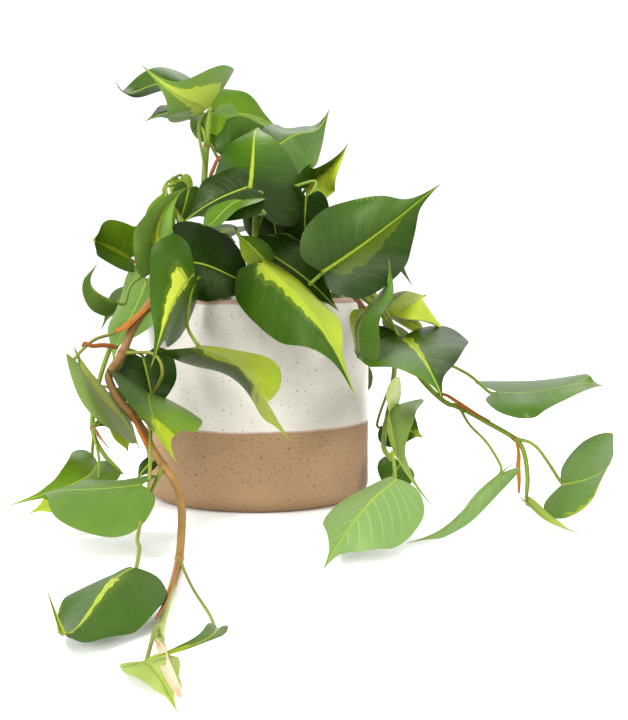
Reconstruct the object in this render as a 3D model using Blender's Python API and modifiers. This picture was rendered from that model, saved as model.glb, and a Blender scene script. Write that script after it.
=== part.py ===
"""Potted heartleaf philodendron: a two-tone stoneware planter, its potting soil and the leafy stems.

The origin is at the middle of the pot's underside, +Z is up and the viewer stands at -Y.
Sizes are in millimetres up to the moment a mesh is made, where MM turns them into metres.
"""
import math
import random
from collections import namedtuple

import bpy
import bmesh
from mathutils import Vector

MM = 0.001

# Planter
POT_RADIUS = 75.0
POT_HEIGHT = 135.5
POT_WALL = 5.0
POT_FLOOR = 8.0
FOOT_RADIUS = 66.0
FOOT_ROUNDING = 11.0
FOOT_TURN = 78.0
RIM_ROUNDING = 1.8
INNER_CHAMFER = 6.0
GLAZE_LINE = 51.4
POT_SIDES = 36

# Potting soil, with a plain hole round each stem
FIT_GAP = 0.3
SOIL_LEVEL = 114.0
SOIL_CROWN = 1.5
SOIL_CHAMFER = 7.0
HOLE_SIDES = 8
HOLE_LENGTH = 42.0

# Leafy stems
STEM_STEP = 20.0
PETIOLE_STEP = 22.0
PETIOLE_REACH = 14.0
PETIOLE_HOLD = 5.0
PETIOLE_RADIUS = 1.1
PETIOLE_SINK = 2.5
BLADE_THICKNESS = 0.7
WIDE_BLADE = 52.0

# Half of a heart-shaped blade of unit length from the petiole to the tip: for each side vein, its end on
# the margin (out from the midrib, along it) and the place along the midrib where it starts.
Vein = namedtuple("Vein", "out along start")
HEART = (
    Vein(0.19, -0.14, 0.0),
    Vein(0.38, -0.04, 0.0),
    Vein(0.43, 0.20, 0.09),
    Vein(0.38, 0.45, 0.28),
    Vein(0.21, 0.66, 0.50),
    Vein(0.075, 0.80, 0.70),
)
HEART_HALF_WIDTH = 0.43

# A leaf: the point of its stem's route where the petiole leaves, the ends of the midrib, the full width
# and the direction that the upper side looks in. bow arches the midrib, hook makes it an S, skew swings it
# to the right, fold lifts the halves (degrees, a pair where the left and the right half differ) and cup
# curls the margins down. via holds the points that a long petiole passes through.
Leaf = namedtuple("Leaf", "joint base tip width face bow hook skew fold cup via")
Stem = namedtuple("Stem", "thick thin route leaves")


def leaf(joint, base, tip, width, face, bow=0.08, hook=0.0, skew=0.0, fold=8, cup=0.22, via=()):
    folds = fold if isinstance(fold, tuple) else (fold, fold)
    way = [Vector(point) for point in via]
    return Leaf(joint, Vector(base), Vector(tip), width, Vector(face), bow, hook, skew, folds, cup, way)


STEMS = {
    "stem_upright": Stem(2.6, 1.8, (
        (-17, -14, 90), (-17, -14, 121), (-25, -18, 158), (-34, -17, 197), (-33, -10, 234),
        (-31, 0, 258)), (
        leaf(3, (-35, -24, 255), (-71, -73, 280), 54, (0.27, 0.27, 0.92), bow=-0.13, hook=0.04, skew=-0.3,
             fold=(57, -34), cup=-0.22),
        leaf(5, (-43, 6, 274), (-89, -27, 270), 36, (0.46, -0.7, 0.54), bow=-0.14, hook=0.1, skew=0.12,
             fold=(36, -12)),
        leaf(4, (-44, 4, 258), (-74, -12, 250), 28, (0.0, -0.5, 0.85)),
        leaf(5, (-30, 10, 257), (-20, 2, 231), 34, (-0.1, 0.95, 0.2)),
        leaf(5, (-30, 11, 258), (15, 37, 250), 42, (0.4, -0.72, 0.5), bow=0.12, fold=12),
        leaf(4, (-11, -1, 223), (13, 36, 253), 40, (0.54, -0.72, 0.45), fold=4),
    )),
    "stem_centre": Stem(2.6, 1.8, (
        (5, -30, 90), (5, -32, 121), (2, -44, 145), (-1, -52, 170), (0, -54, 190), (5, -44, 212),
        (10, -34, 228)), (
        leaf(4, (-5, -81, 199), (2, -15, 246), 67, (-0.26, -0.54, 0.8), bow=0.13, hook=-0.03, skew=0.03,
             fold=(-12, -41)),
        leaf(3, (-4, -103, 197), (-34, -134, 183), 26, (-0.1, -0.34, 0.94), bow=-0.1, hook=0.07,
             skew=0.11, fold=10),
        leaf(4, (-6, -98, 204), (-44, -102, 183), 42, (-0.3, -0.8, 0.5)),
        leaf(6, (13, -27, 233), (50, 19, 262), 48, (0.04, -0.55, 0.83), bow=-0.03, hook=0.06, skew=0.07,
             fold=(-3, -57)),
        leaf(5, (32, -36, 206), (59, -49, 235), 36, (-0.15, -0.95, -0.29), bow=0.14, hook=-0.14,
             skew=0.04, fold=(62, 50)),
        leaf(4, (31, -60, 199), (35, -38, 162), 36, (0.5, 0.6, 0.6), bow=-0.1),
        leaf(3, (10, -40, 194), (14, -38, 158), 40, (0.0, -0.95, 0.3)),
    )),
    "stem_front_right": Stem(2.6, 2.0, (
        (26, -38, 90), (26, -40, 121), (32, -54, 140), (44, -66, 146), (60, -72, 142), (76, -72, 129)), (
        leaf(3, (40, -92, 153), (119, -38, 209), 73, (0.24, -0.84, 0.48), bow=-0.11, skew=-0.01,
             fold=(41, 29)),
        leaf(2, (3, -100, 159), (58, -145, 79), 58, (-0.04, -0.88, 0.47), bow=0.23, hook=-0.03,
             skew=-0.02, fold=(-51, -30)),
        leaf(3, (8, -74, 164), (51, -82, 128), 44, (0.2, -0.8, 0.5)),
        leaf(4, (62, -99, 105), (81, -80, 163), 35, (-0.57, -0.71, 0.42), bow=0.0, hook=0.12, skew=-0.01,
             fold=(-30, 11)),
        leaf(4, (78, -61, 129), (121, -62, 112), 41, (-0.22, -0.86, -0.46), bow=0.22, hook=0.09,
             skew=-0.18, fold=-52),
        leaf(5, (92, -72, 112), (107, -148, 81), 70, (-0.13, -0.33, 0.93)),
        leaf(5, (73, -68, 112), (97, -74, 94), 24, (0.2, -0.8, 0.5)),
        leaf(2, (28, -62, 167), (6, -66, 176), 20, (0.2, -0.5, 0.85)),
        leaf(2, (4, -84, 160), (-14, -78, 177), 20, (-0.3, -0.5, 0.8)),
    )),
    "stem_left_crown": Stem(2.6, 1.8, (
        (-18, -34, 90), (-18, -36, 121), (-26, -46, 152), (-40, -48, 174), (-52, -42, 190),
        (-60, -34, 204)), (
        leaf(1, (-38, -88, 152), (-61, -149, 98), 65, (0.52, -0.66, 0.54), bow=0.13, hook=-0.01,
             skew=0.08, fold=(-57, 29)),
        leaf(3, (-44, -75, 159), (-7, -47, 150), 53, (0.46, -0.74, -0.49), bow=0.28, hook=-0.12,
             skew=-0.08, fold=(-57, 32)),
        leaf(3, (-66, -54, 155), (-42, -47, 207), 39, (0.04, -0.99, 0.13), bow=0.2, hook=-0.12,
             skew=-0.14, fold=(52, 39)),
        leaf(2, (-71, -45, 146), (-91, -63, 94), 45, (-0.59, -0.66, 0.46), bow=-0.03, hook=-0.03,
             skew=0.08, fold=3, via=((-48, -46, 156),)),
        leaf(2, (-88, -59, 133), (-97, -81, 159), 27, (-0.94, 0.34, -0.03), bow=0.18, hook=-0.08,
             skew=0.2, fold=(77, 49), via=((-56, -42, 155), (-78, -54, 146))),
        leaf(4, (-83, -28, 161), (-100, -68, 171), 38, (0.62, -0.43, -0.65), bow=-0.29, skew=-0.09,
             fold=(73, 2)),
        leaf(4, (-63, -46, 178), (-57, -40, 208), 20, (0.1, -0.85, 0.45)),
        leaf(5, (-50, -20, 212), (-46, -22, 190), 16, (-0.2, -0.8, 0.5)),
        leaf(5, (-44, -34, 205), (-52, -38, 178), 20, (0.4, -0.8, 0.4)),
        leaf(2, (-35, -128, 110), (20, -136, 54), 79, (-0.71, -0.09, -0.7), bow=-0.12, hook=-0.03,
             skew=0.3, fold=(6, 29), via=((-38, -80, 147), (-42, -104, 124))),
    )),
    "vine_left_front": Stem(2.8, 1.8, (
        (-36, -32, 90), (-37, -34, 121), (-50, -55, 143), (-63, -74, 137), (-75, -87, 120), (-82, -92, 104),
        (-89, -98, 93), (-89, -102, 88), (-83, -107, 77), (-74, -113, 68), (-67, -119, 59), (-62, -125, 50),
        (-55, -133, 41), (-47, -146, 32), (-43, -163, 22), (-42, -186, 11), (-42, -209, 3.2),
        (-42, -255, 2.6),
        (-43, -300, 2.4), (-43, -338, 2.4), (-42, -360, 2.4), (-37, -392, 2.4), (-30, -426, 2.4)), (
        leaf(3, (-106, -108, 98), (-72, -76, 38), 56, (0.63, 0.48, 0.61), bow=-0.02, hook=-0.02,
             skew=0.11, fold=(42, -33), via=((-84, -90, 118), (-99, -100, 112))),
        leaf(5, (-66, -89, 79), (-46, -148, 44), 68, (0.23, -0.44, 0.87), bow=0.16, hook=0.02, skew=0.13,
             fold=(-13, 41), via=((-63, -99, 104), (-57, -104, 93))),
        leaf(5, (-70, -84, 100), (-62, -90, 62), 38, (0.1, -0.85, 0.5)),
        leaf(9, (-65, -173, 37), (-125, -147, 27), 72, (-0.2, -0.06, 0.98), bow=0.04, hook=-0.01,
             skew=-0.12, fold=(-11, 6), via=((-64, -122, 65), (-62, -140, 54))),
        leaf(12, (-62, -128, 43), (-71, -136, 33), 9, (0.0, -0.8, 0.5)),
        leaf(12, (-55, -313, 23), (-77, -400, 17), 47, (0.06, -0.09, 0.99), bow=-0.05, hook=0.04,
             skew=0.02, fold=(-31, -23), via=((-62, -165, 26), (-62, -230, 20), (-57, -280, 24))),
        leaf(16, (-17, -371, 10), (-55, -408, 5), 24, (0.0, -0.1, 1.0), fold=30,
             via=((-32, -275, 4), (-21, -340, 7))),
        leaf(20, (-43, -389, 6), (-30, -452, 3.6), 28, (0.0, -0.25, 0.95), fold=12),
    )),
    "vine_left_second": Stem(2.0, 1.4, (
        (-48, -8, 90), (-49, -10, 121), (-60, -28, 143), (-78, -32, 132), (-93, -46, 106), (-101, -64, 78),
        (-102, -80, 56), (-94, -92, 42), (-82, -100, 31)), (
        leaf(5, (-81, -67, 72), (-104, -71, 54), 24, (0.2, -0.85, 0.4)),
        leaf(6, (-88, -63, 57), (-81, -67, 38), 13, (0.1, -0.9, 0.3), fold=16),
        leaf(6, (-99, -83, 36), (-150, -128, 16), 33, (0.27, -0.62, 0.74), bow=0.3, hook=-0.01,
             skew=-0.26, fold=(28, -6)),
        leaf(6, (-99, -128, 23), (-134, -140, 14), 22, (0.1, -0.7, 0.7), via=((-95, -108, 38),)),
    )),
    "vine_right": Stem(2.2, 1.4, (
        (42, -18, 90), (43, -20, 121), (55, -30, 143), (73, -38, 137), (90, -48, 108), (104, -58, 85),
        (119, -64, 70), (128, -68, 67), (143, -77, 59), (159, -90, 50), (164, -96, 42), (165, -103, 28),
        (163, -110, 16)), (
        leaf(4, (150, -79, 78), (223, -76, 78), 69, (0.03, -0.91, 0.4), bow=0.22, hook=-0.12, skew=0.03,
             fold=(-55, 51), via=((112, -60, 98), (133, -67, 88))),
        leaf(9, (185, -108, 24), (202, -159, 46), 65, (-0.83, -0.43, -0.36), bow=-0.09, hook=0.02,
             skew=0.07, fold=(-57, 63), via=((171, -98, 46),)),
        leaf(12, (167, -116, 10), (192, -136, 3), 14, (-0.1, -0.6, 0.8), fold=25),
        leaf(7, (145, -126, 34), (82, -176, 3), 19, (0.67, -0.69, -0.27), bow=0.01, hook=-0.02,
             skew=-0.08, fold=(29, 33), via=((132, -82, 58), (141, -98, 48))),
    )),
    "vine_right_low": Stem(2.0, 1.5, (
        (48, 4, 90), (49, 4, 121), (62, 0, 143), (80, -10, 134), (90, -28, 100), (86, -52, 74),
        (80, -80, 58), (76, -110, 48), (78, -140, 45)), (
        leaf(5, (91, -50, 67), (105, -123, 13), 39, (0.67, -0.36, 0.65), bow=0.03, hook=0.02, skew=0.3,
             fold=52),
        leaf(5, (88, -10, 50), (112, -16, 40), 32, (0.0, -0.85, 0.5)),
        leaf(6, (94, -30, 24), (80, -46, 8), 26, (0.1, -0.8, 0.5)),
        leaf(8, (78, -171, 39), (33, -239, 3), 57, (0.37, -0.62, 0.7), bow=0.04, hook=0.01, skew=0.04,
             fold=(-16, -57)),
    )),
}

# Leafy stems that drape over the back of the rim, where they leave the soil and the seed of their leaves
BACK_STEMS = (
    ("stem_back_left", 134, 11),
    ("stem_back", 90, 5),
    ("stem_back_right", 41, 8),
)
# Their shared arch as distances out from the pot's axis and heights, and how they weave from side to side
BACK_ARCH = (
    (34, 90), (35, 121), (44, 150), (62, 162), (82, 150), (94, 124), (99, 96), (102, 70), (104, 48))
BACK_WEAVE = 5.0
BACK_WEAVE_PITCH = 19.0
BACK_THICK = 2.4
BACK_THIN = 1.6
# Their leaves: each one shorter than the one before, narrower than long, and hanging further over
BACK_LEAVES = 6
BACK_BLADE = 60.0
BACK_SHORTER = 0.07
BACK_SLIMNESS = 0.74
BACK_FIRST_DROOP = 6.0
BACK_DROOP_STEP = 15.0
BACK_LIFT = 22.0
BACK_LIFT_STEP = 2.0


def back_stem(heading, seed):
    """A stem that leaves the soil, leans over the rim in its heading (degrees) and hangs down outside."""
    draw = random.Random(seed)
    away = Vector((math.cos(math.radians(heading)), math.sin(math.radians(heading)), 0))
    aside = Vector((-away.y, away.x, 0))
    rise = Vector((0, 0, 1))
    route = [
        away * out + rise * height + aside * BACK_WEAVE * math.sin(height / BACK_WEAVE_PITCH)
        for out, height in BACK_ARCH]
    leaves = []
    for k in range(BACK_LEAVES):
        hand = 1 if k % 2 else -1
        droop = math.radians(BACK_FIRST_DROOP + BACK_DROOP_STEP * k + draw.uniform(-5, 5))
        length = BACK_BLADE * (1 - BACK_SHORTER * k) * draw.uniform(0.92, 1.08)
        base = route[k + 2] + away * draw.uniform(4, 10) + aside * hand * draw.uniform(8, 13)
        base += rise * (BACK_LIFT - BACK_LIFT_STEP * k)
        lean = (away * math.cos(droop) - rise * math.sin(droop) + aside * hand * 0.45).normalized()
        face = rise * math.cos(droop) + away * math.sin(droop) + aside * hand * 0.1
        width = BACK_SLIMNESS * length
        leaves.append(leaf(k + 2, base, base + lean * length, width, face, bow=0.12, fold=10))
    return Stem(BACK_THICK, BACK_THIN, route, leaves)


STEMS.update({name: back_stem(heading, seed) for name, heading, seed in BACK_STEMS})


def clear_scene():
    for item in list(bpy.data.objects):
        bpy.data.objects.remove(item, do_unlink=True)


def material(name, colour, roughness):
    surface = bpy.data.materials.new(name)
    surface.use_nodes = True
    shader = surface.node_tree.nodes["Principled BSDF"]
    shader.inputs["Base Color"].default_value = (*colour, 1.0)
    shader.inputs["Roughness"].default_value = roughness
    shader.inputs["Metallic"].default_value = 0.0
    return surface


def add_object(name, mesh, collection, surface):
    thing = bpy.data.objects.new(name, mesh)
    collection.objects.link(thing)
    mesh.materials.append(surface)
    return thing


def rounding(centre, radius, start, end, steps):
    """Points of an arc round a centre, from one angle to another in degrees."""
    angles = [math.radians(start + (end - start) * k / steps) for k in range(steps + 1)]
    return [(centre[0] + radius * math.cos(a), centre[1] + radius * math.sin(a)) for a in angles]


def turned(name, profile, sides, collection, surface):
    """A profile that runs from the axis up the inside, over the top and down the outside, turned round Z."""
    mesh = bpy.data.meshes.new(name)
    points = [(radius * MM, 0.0, height * MM) for radius, height in profile]
    mesh.from_pydata(points, [(k, k + 1) for k in range(len(points) - 1)], [])
    thing = add_object(name, mesh, collection, surface)
    screw = thing.modifiers.new("Turn", 'SCREW')
    screw.axis = 'Z'
    screw.steps = sides
    screw.render_steps = sides
    screw.use_merge_vertices = True
    screw.merge_threshold = 0.00001
    return thing


def pot_profile():
    inside = POT_RADIUS - POT_WALL
    rim = POT_HEIGHT - RIM_ROUNDING
    heel = rounding((POT_RADIUS - FOOT_ROUNDING, FOOT_ROUNDING), FOOT_ROUNDING, 0, -FOOT_TURN, 4)
    return [
        (0.0, POT_FLOOR),
        (inside - INNER_CHAMFER, POT_FLOOR),
        (inside, POT_FLOOR + INNER_CHAMFER),
        (inside, rim),
        *rounding((inside + RIM_ROUNDING, rim), RIM_ROUNDING, 180, 90, 2)[1:],
        *rounding((POT_RADIUS - RIM_ROUNDING, rim), RIM_ROUNDING, 90, 0, 2),
        (POT_RADIUS, GLAZE_LINE),
        *heel,
        (FOOT_RADIUS, 0.0),
        (0.0, 0.0),
    ]


def add_pot(collection):
    surface = material("stoneware", (0.66, 0.64, 0.59), 0.5)
    return turned("pot", pot_profile(), POT_SIDES, collection, surface)


def soil_profile():
    radius = POT_RADIUS - POT_WALL - FIT_GAP
    bottom = POT_FLOOR + FIT_GAP
    return [
        (0.0, SOIL_LEVEL + SOIL_CROWN),
        (radius * 0.6, SOIL_LEVEL + SOIL_CROWN * 0.7),
        (radius, SOIL_LEVEL),
        (radius, bottom + SOIL_CHAMFER),
        (radius - SOIL_CHAMFER, bottom),
        (0.0, bottom),
    ]


def add_soil(collection, cutters):
    surface = material("soil", (0.05, 0.032, 0.02), 0.95)
    soil = turned("potting_soil", soil_profile(), POT_SIDES, collection, surface)
    for name, stem in STEMS.items():
        foot, mouth = Vector(stem.route[0]), Vector(stem.route[1])
        radius = (stem.thick + FIT_GAP) / math.cos(math.pi / HOLE_SIDES)
        hole = bmesh.new()
        bmesh.ops.create_cone(
            hole, cap_ends=True, segments=HOLE_SIDES, radius1=radius * MM, radius2=radius * MM,
            depth=HOLE_LENGTH * MM)
        mesh = bpy.data.meshes.new("hole_" + name)
        hole.to_mesh(mesh)
        hole.free()
        cutter = bpy.data.objects.new("hole_" + name, mesh)
        cutters.objects.link(cutter)
        cutter.rotation_mode = 'QUATERNION'
        cutter.rotation_quaternion = (mouth - foot).to_track_quat('Z', 'Y')
        cutter.location = (foot + (mouth - foot).normalized() * (HOLE_LENGTH / 2 - FIT_GAP)) * MM
        cutter.hide_render = True
        cutter.display_type = 'WIRE'
        cut = soil.modifiers.new("Cut " + name, 'BOOLEAN')
        cut.operation = 'DIFFERENCE'
        cut.object = cutter
    return soil


def smooth_route(points, step):
    """Points of a Catmull-Rom curve through the given ones, about a step apart."""
    ends = [points[0] * 2 - points[1], *points, points[-1] * 2 - points[-2]]
    route = []
    for k in range(1, len(ends) - 2):
        before, start, end, after = ends[k - 1:k + 3]
        pieces = max(1, round((end - start).length / step))
        for piece in range(pieces):
            t = piece / pieces
            route.append(0.5 * (
                2 * start + (end - before) * t + (2 * before - 5 * start + 4 * end - after) * t * t
                + (3 * start - before - 3 * end + after) * t ** 3))
    return route + [points[-1]]


def tube(name, points, thick, thin, resolution, collection):
    """A tapering round shoot along the points, as a closed mesh."""
    curve = bpy.data.curves.new(name, 'CURVE')
    curve.dimensions = '3D'
    curve.bevel_depth = thick * MM
    curve.bevel_resolution = resolution
    curve.use_fill_caps = True
    spline = curve.splines.new('POLY')
    spline.points.add(len(points) - 1)
    for k, (knot, point) in enumerate(zip(spline.points, points)):
        knot.co = (*(point * MM), 1.0)
        knot.radius = 1 + (thin / thick - 1) * k / (len(points) - 1)
    guide = bpy.data.objects.new(name, curve)
    collection.objects.link(guide)
    mesh = bpy.data.meshes.new_from_object(guide.evaluated_get(bpy.context.evaluated_depsgraph_get()))
    bpy.data.objects.remove(guide)
    work = bmesh.new()
    work.from_mesh(mesh)
    bmesh.ops.remove_doubles(work, verts=work.verts, dist=0.00001)
    bmesh.ops.recalc_face_normals(work, faces=work.faces)
    work.to_mesh(mesh)
    work.free()
    shoot = bpy.data.objects.new(name, mesh)
    collection.objects.link(shoot)
    return shoot


def blade_axes(blade):
    """Length, the direction to the tip, the right-hand side and the upper side of a blade."""
    length = (blade.tip - blade.base).length
    along = (blade.tip - blade.base) / length
    face = (blade.face - blade.face.dot(along) * along).normalized()
    return length, along, along.cross(face), face


def midrib(blade, place):
    """The midrib's point at a place from 0 to 1, its direction, and the right and upper sides there."""
    length, along, side, face = blade_axes(blade)
    arch, bend = math.pi * place, 2 * math.pi * place
    lift = blade.bow * math.sin(arch) + blade.hook * math.sin(bend)
    slope = math.pi * (blade.bow * math.cos(arch) + 2 * blade.hook * math.cos(bend))
    point = blade.base + length * (along * place + face * lift + side * blade.skew * math.sin(arch))
    forward = (along + face * slope + side * blade.skew * math.pi * math.cos(arch)).normalized()
    right = (side - side.dot(forward) * forward).normalized()
    return point, forward, right, right.cross(forward)


def blade_point(blade, hand, share, vein):
    """A point part of the way along a side vein, on the right (hand 1) or the left half (-1)."""
    length = blade_axes(blade)[0]
    point, forward, right, upper = midrib(blade, vein.start)
    out = share * vein.out * blade.width / (2 * HEART_HALF_WIDTH)
    ahead = share * (vein.along - vein.start) * length
    fold = math.radians(blade.fold[1] if hand > 0 else blade.fold[0])
    lift = out * math.sin(fold) - blade.cup * out * out / (HEART_HALF_WIDTH * length)
    return point + forward * ahead + right * hand * out * math.cos(fold) + upper * lift


def add_blade(name, blade, collection):
    """A heart-shaped blade: an open sheet of side veins and margin, split into triangles, then thickened."""
    shares = (0.0, 0.5, 1.0) if blade.width > WIDE_BLADE else (0.0, 1.0)
    sheet = bmesh.new()
    ribs = {}
    for vein in HEART:
        if vein.start not in ribs:
            ribs[vein.start] = sheet.verts.new(midrib(blade, vein.start)[0] * MM)
    tip = sheet.verts.new(midrib(blade, 1.0)[0] * MM)
    for hand in (-1, 1):
        rows = [
            [ribs[vein.start]]
            + [sheet.verts.new(blade_point(blade, hand, share, vein) * MM) for share in shares[1:]]
            for vein in HEART
        ]
        rows.append([tip] * len(shares))
        for near, far in zip(rows, rows[1:]):
            for k in range(len(shares) - 1):
                corners = [near[k], near[k + 1], far[k + 1], far[k]]
                corners = [v for n, v in enumerate(corners) if v not in corners[:n]]
                sheet.faces.new(corners if hand > 0 else corners[::-1])
    bmesh.ops.triangulate(sheet, faces=sheet.faces)
    mesh = bpy.data.meshes.new(name)
    sheet.to_mesh(mesh)
    sheet.free()
    thing = bpy.data.objects.new(name, mesh)
    collection.objects.link(thing)
    wall = thing.modifiers.new("Thickness", 'SOLIDIFY')
    wall.thickness = BLADE_THICKNESS * MM
    wall.offset = 0.0
    return thing


def petiole_route(start, blade):
    """A leaf stalk: out of its stem, round to the back of the blade and a little way under the midrib."""
    reach = (blade.base - start).length
    forward, upper = midrib(blade, 0.0)[1], midrib(blade, 0.0)[3]
    hold = PETIOLE_HOLD if blade.via else min(PETIOLE_REACH, 0.4 * reach)
    arrive = blade.base - (forward + upper).normalized() * hold
    arrive.z = max(arrive.z, 2 * PETIOLE_RADIUS)
    first = [] if blade.via else [start + (blade.base - start) * 0.2 + Vector((0, 0, 0.2 * reach))]
    end = blade.base + forward * PETIOLE_SINK - upper * 0.2
    return smooth_route([start, *first, *blade.via, arrive, end], PETIOLE_STEP)


def add_leafy_stem(name, stem, collection, surface):
    """A stem with its petioles and blades, joined into one solid."""
    pieces = bpy.data.collections.new(name + "_pieces")
    bpy.context.scene.collection.children.link(pieces)
    knots = [Vector(point) for point in stem.route]
    line = [knots[0], *smooth_route(knots[1:], STEM_STEP)]
    shoot = tube(name, line, stem.thick, stem.thin, 1, collection)
    shoot.data.materials.clear()
    shoot.data.materials.append(surface)
    for number, blade in enumerate(stem.leaves):
        tube(f"{name}_petiole_{number}", petiole_route(knots[blade.joint], blade),
             PETIOLE_RADIUS, PETIOLE_RADIUS, 0, pieces)
        add_blade(f"{name}_blade_{number}", blade, pieces)
    join = shoot.modifiers.new("Join", 'BOOLEAN')
    join.operation = 'UNION'
    join.operand_type = 'COLLECTION'
    join.collection = pieces
    join.solver = 'EXACT'
    bpy.context.view_layer.update()
    mesh = bpy.data.meshes.new_from_object(shoot.evaluated_get(bpy.context.evaluated_depsgraph_get()))
    shoot.modifiers.clear()
    shoot.data = mesh
    for piece in list(pieces.objects):
        bpy.data.objects.remove(piece, do_unlink=True)
    bpy.data.collections.remove(pieces)
    return shoot


def build():
    clear_scene()
    plant = bpy.data.collections.new("Potted heartleaf philodendron")
    cutters = bpy.data.collections.new("Cutters")
    bpy.context.scene.collection.children.link(plant)
    bpy.context.scene.collection.children.link(cutters)
    add_pot(plant)
    add_soil(plant, cutters)
    for name, stem in STEMS.items():
        add_leafy_stem(name, stem, plant, material(name, (0.06, 0.19, 0.03), 0.4))


build()
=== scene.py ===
import math
import random

import bpy
import numpy as np
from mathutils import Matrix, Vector


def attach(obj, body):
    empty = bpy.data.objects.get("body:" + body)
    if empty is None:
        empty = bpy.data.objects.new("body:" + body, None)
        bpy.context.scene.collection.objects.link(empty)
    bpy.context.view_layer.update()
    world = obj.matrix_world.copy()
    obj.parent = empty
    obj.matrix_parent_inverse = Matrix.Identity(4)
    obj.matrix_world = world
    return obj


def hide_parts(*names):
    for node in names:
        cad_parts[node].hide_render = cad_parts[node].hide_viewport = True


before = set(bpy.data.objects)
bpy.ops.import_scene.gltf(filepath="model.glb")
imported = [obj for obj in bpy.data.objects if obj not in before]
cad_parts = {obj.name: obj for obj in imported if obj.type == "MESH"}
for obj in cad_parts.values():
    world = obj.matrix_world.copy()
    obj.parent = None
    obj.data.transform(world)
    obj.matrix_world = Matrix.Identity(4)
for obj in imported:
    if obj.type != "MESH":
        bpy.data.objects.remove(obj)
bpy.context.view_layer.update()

mm = 0.001


def unit(vectors):
    # the same directions, one long
    return vectors / np.linalg.norm(vectors, axis=-1, keepdims=True)


# Half of a heart-shaped blade, 1 long from petiole to tip, from the notch round the lobe to the drip tip: how
# far out from the midrib, how far along it, and where along the midrib that side vein starts.
heart = np.array([
    (0.0, 0.0, 0.0), (0.09, -0.085, 0.002), (0.19, -0.14, 0.004), (0.295, -0.115, 0.008),
    (0.38, -0.04, 0.014), (0.42, 0.08, 0.035), (0.43, 0.20, 0.09), (0.415, 0.33, 0.17), (0.375, 0.45, 0.28),
    (0.30, 0.56, 0.39), (0.21, 0.66, 0.50), (0.13, 0.735, 0.60), (0.07, 0.80, 0.70), (0.034, 0.87, 0.80),
    (0.013, 0.94, 0.90),
])
heartHalf = 0.43

# how far the seeds of the painted patterns move from one blade, petiole or sheath to the next
seedSteps = {"blade": 0.137, "petiole": 0.37, "sheath": 0.31}
stemSeed = 0.5
# which of the foliage materials is used
slotOf = {"upper": 0, "under": 1, "shoot": 2, "sheath": 3}

bladeForm = {
    "rows": 36,             # along the outline of one half
    "columns": 11,          # from the midrib to the margin
    "crowding": 1.15,       # above 1, the columns stand closer at the midrib
    "outlineStep": 0.4,     # the rows times the spacing of the outline's samples
    "thickness": 0.42,      # mm between the two faces
    "rounding": 6,          # the higher, the later the blade thins to its margin
    "fullWidth": 40,        # mm; narrower blades have flatter waves and a flatter midrib
    "rib": 0.75,            # mm that the midrib stands out of the underside
    "groove": 0.35,         # mm that the midrib sinks into the upper side
    "ribWidth": 1.1,        # mm
    "ribThinning": 0.75,    # share of the midrib's height that is gone at the tip
    "wave": 0.018,          # margin waves, as a share of the blade's length
    "waves": 2.6,
    "waveEdge": 2.5,        # the higher, the closer the waves keep to the margin
    "waveRows": (0.05, 0.25, 0.7, 0.95),    # they rise over the first two and fade over the last two
    "waveShift": (1.7, 2.1),                # from leaf to leaf, and of the half with a negative share
    "veinArch": 0.10,       # how much the side veins bow back before they turn to the tip
    "archRows": (0.2, 0.5),
    "quilt": 0.0011,        # lift of the blade between two side veins, as a share of the length
    "veins": 12,
    "curlFrom": 0.82,       # where on the midrib the tip begins to curl
    "curlPower": 1.5,
}


def leaf(joint, base, tip, width, face, bow=0.08, hook=0.0, skew=0.0, fold=8, cup=0.22, via=(), tone=0.35,
         greyAndSheen=0.0, band=(0.0, 0.0, 1.0, 0.0), patch=(0.0, 0.0, 1.0, 0.0), curl=(0, 0, 0), rib=0.6, veins=0.04,
         paintedLightToTip=0.0, paintedLightToRight=0.0, pale=0.0):
    # one blade of a leafy stem; a single fold is the same on the left and the right half
    folds = fold if isinstance(fold, tuple) else (fold, fold)
    return dict(joint=joint, base=np.array(base, float), tip=np.array(tip, float), width=width,
                face=np.array(face, float), bow=bow, hook=hook, skew=skew, fold=folds, cup=cup,
                via=[np.array(point, float) for point in via], tone=tone, greyAndSheen=greyAndSheen, band=band, patch=patch,
                curl=np.array(curl, float), rib=rib, veins=veins, paintedLightToTip=paintedLightToTip, paintedLightToRight=paintedLightToRight, pale=pale)
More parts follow.
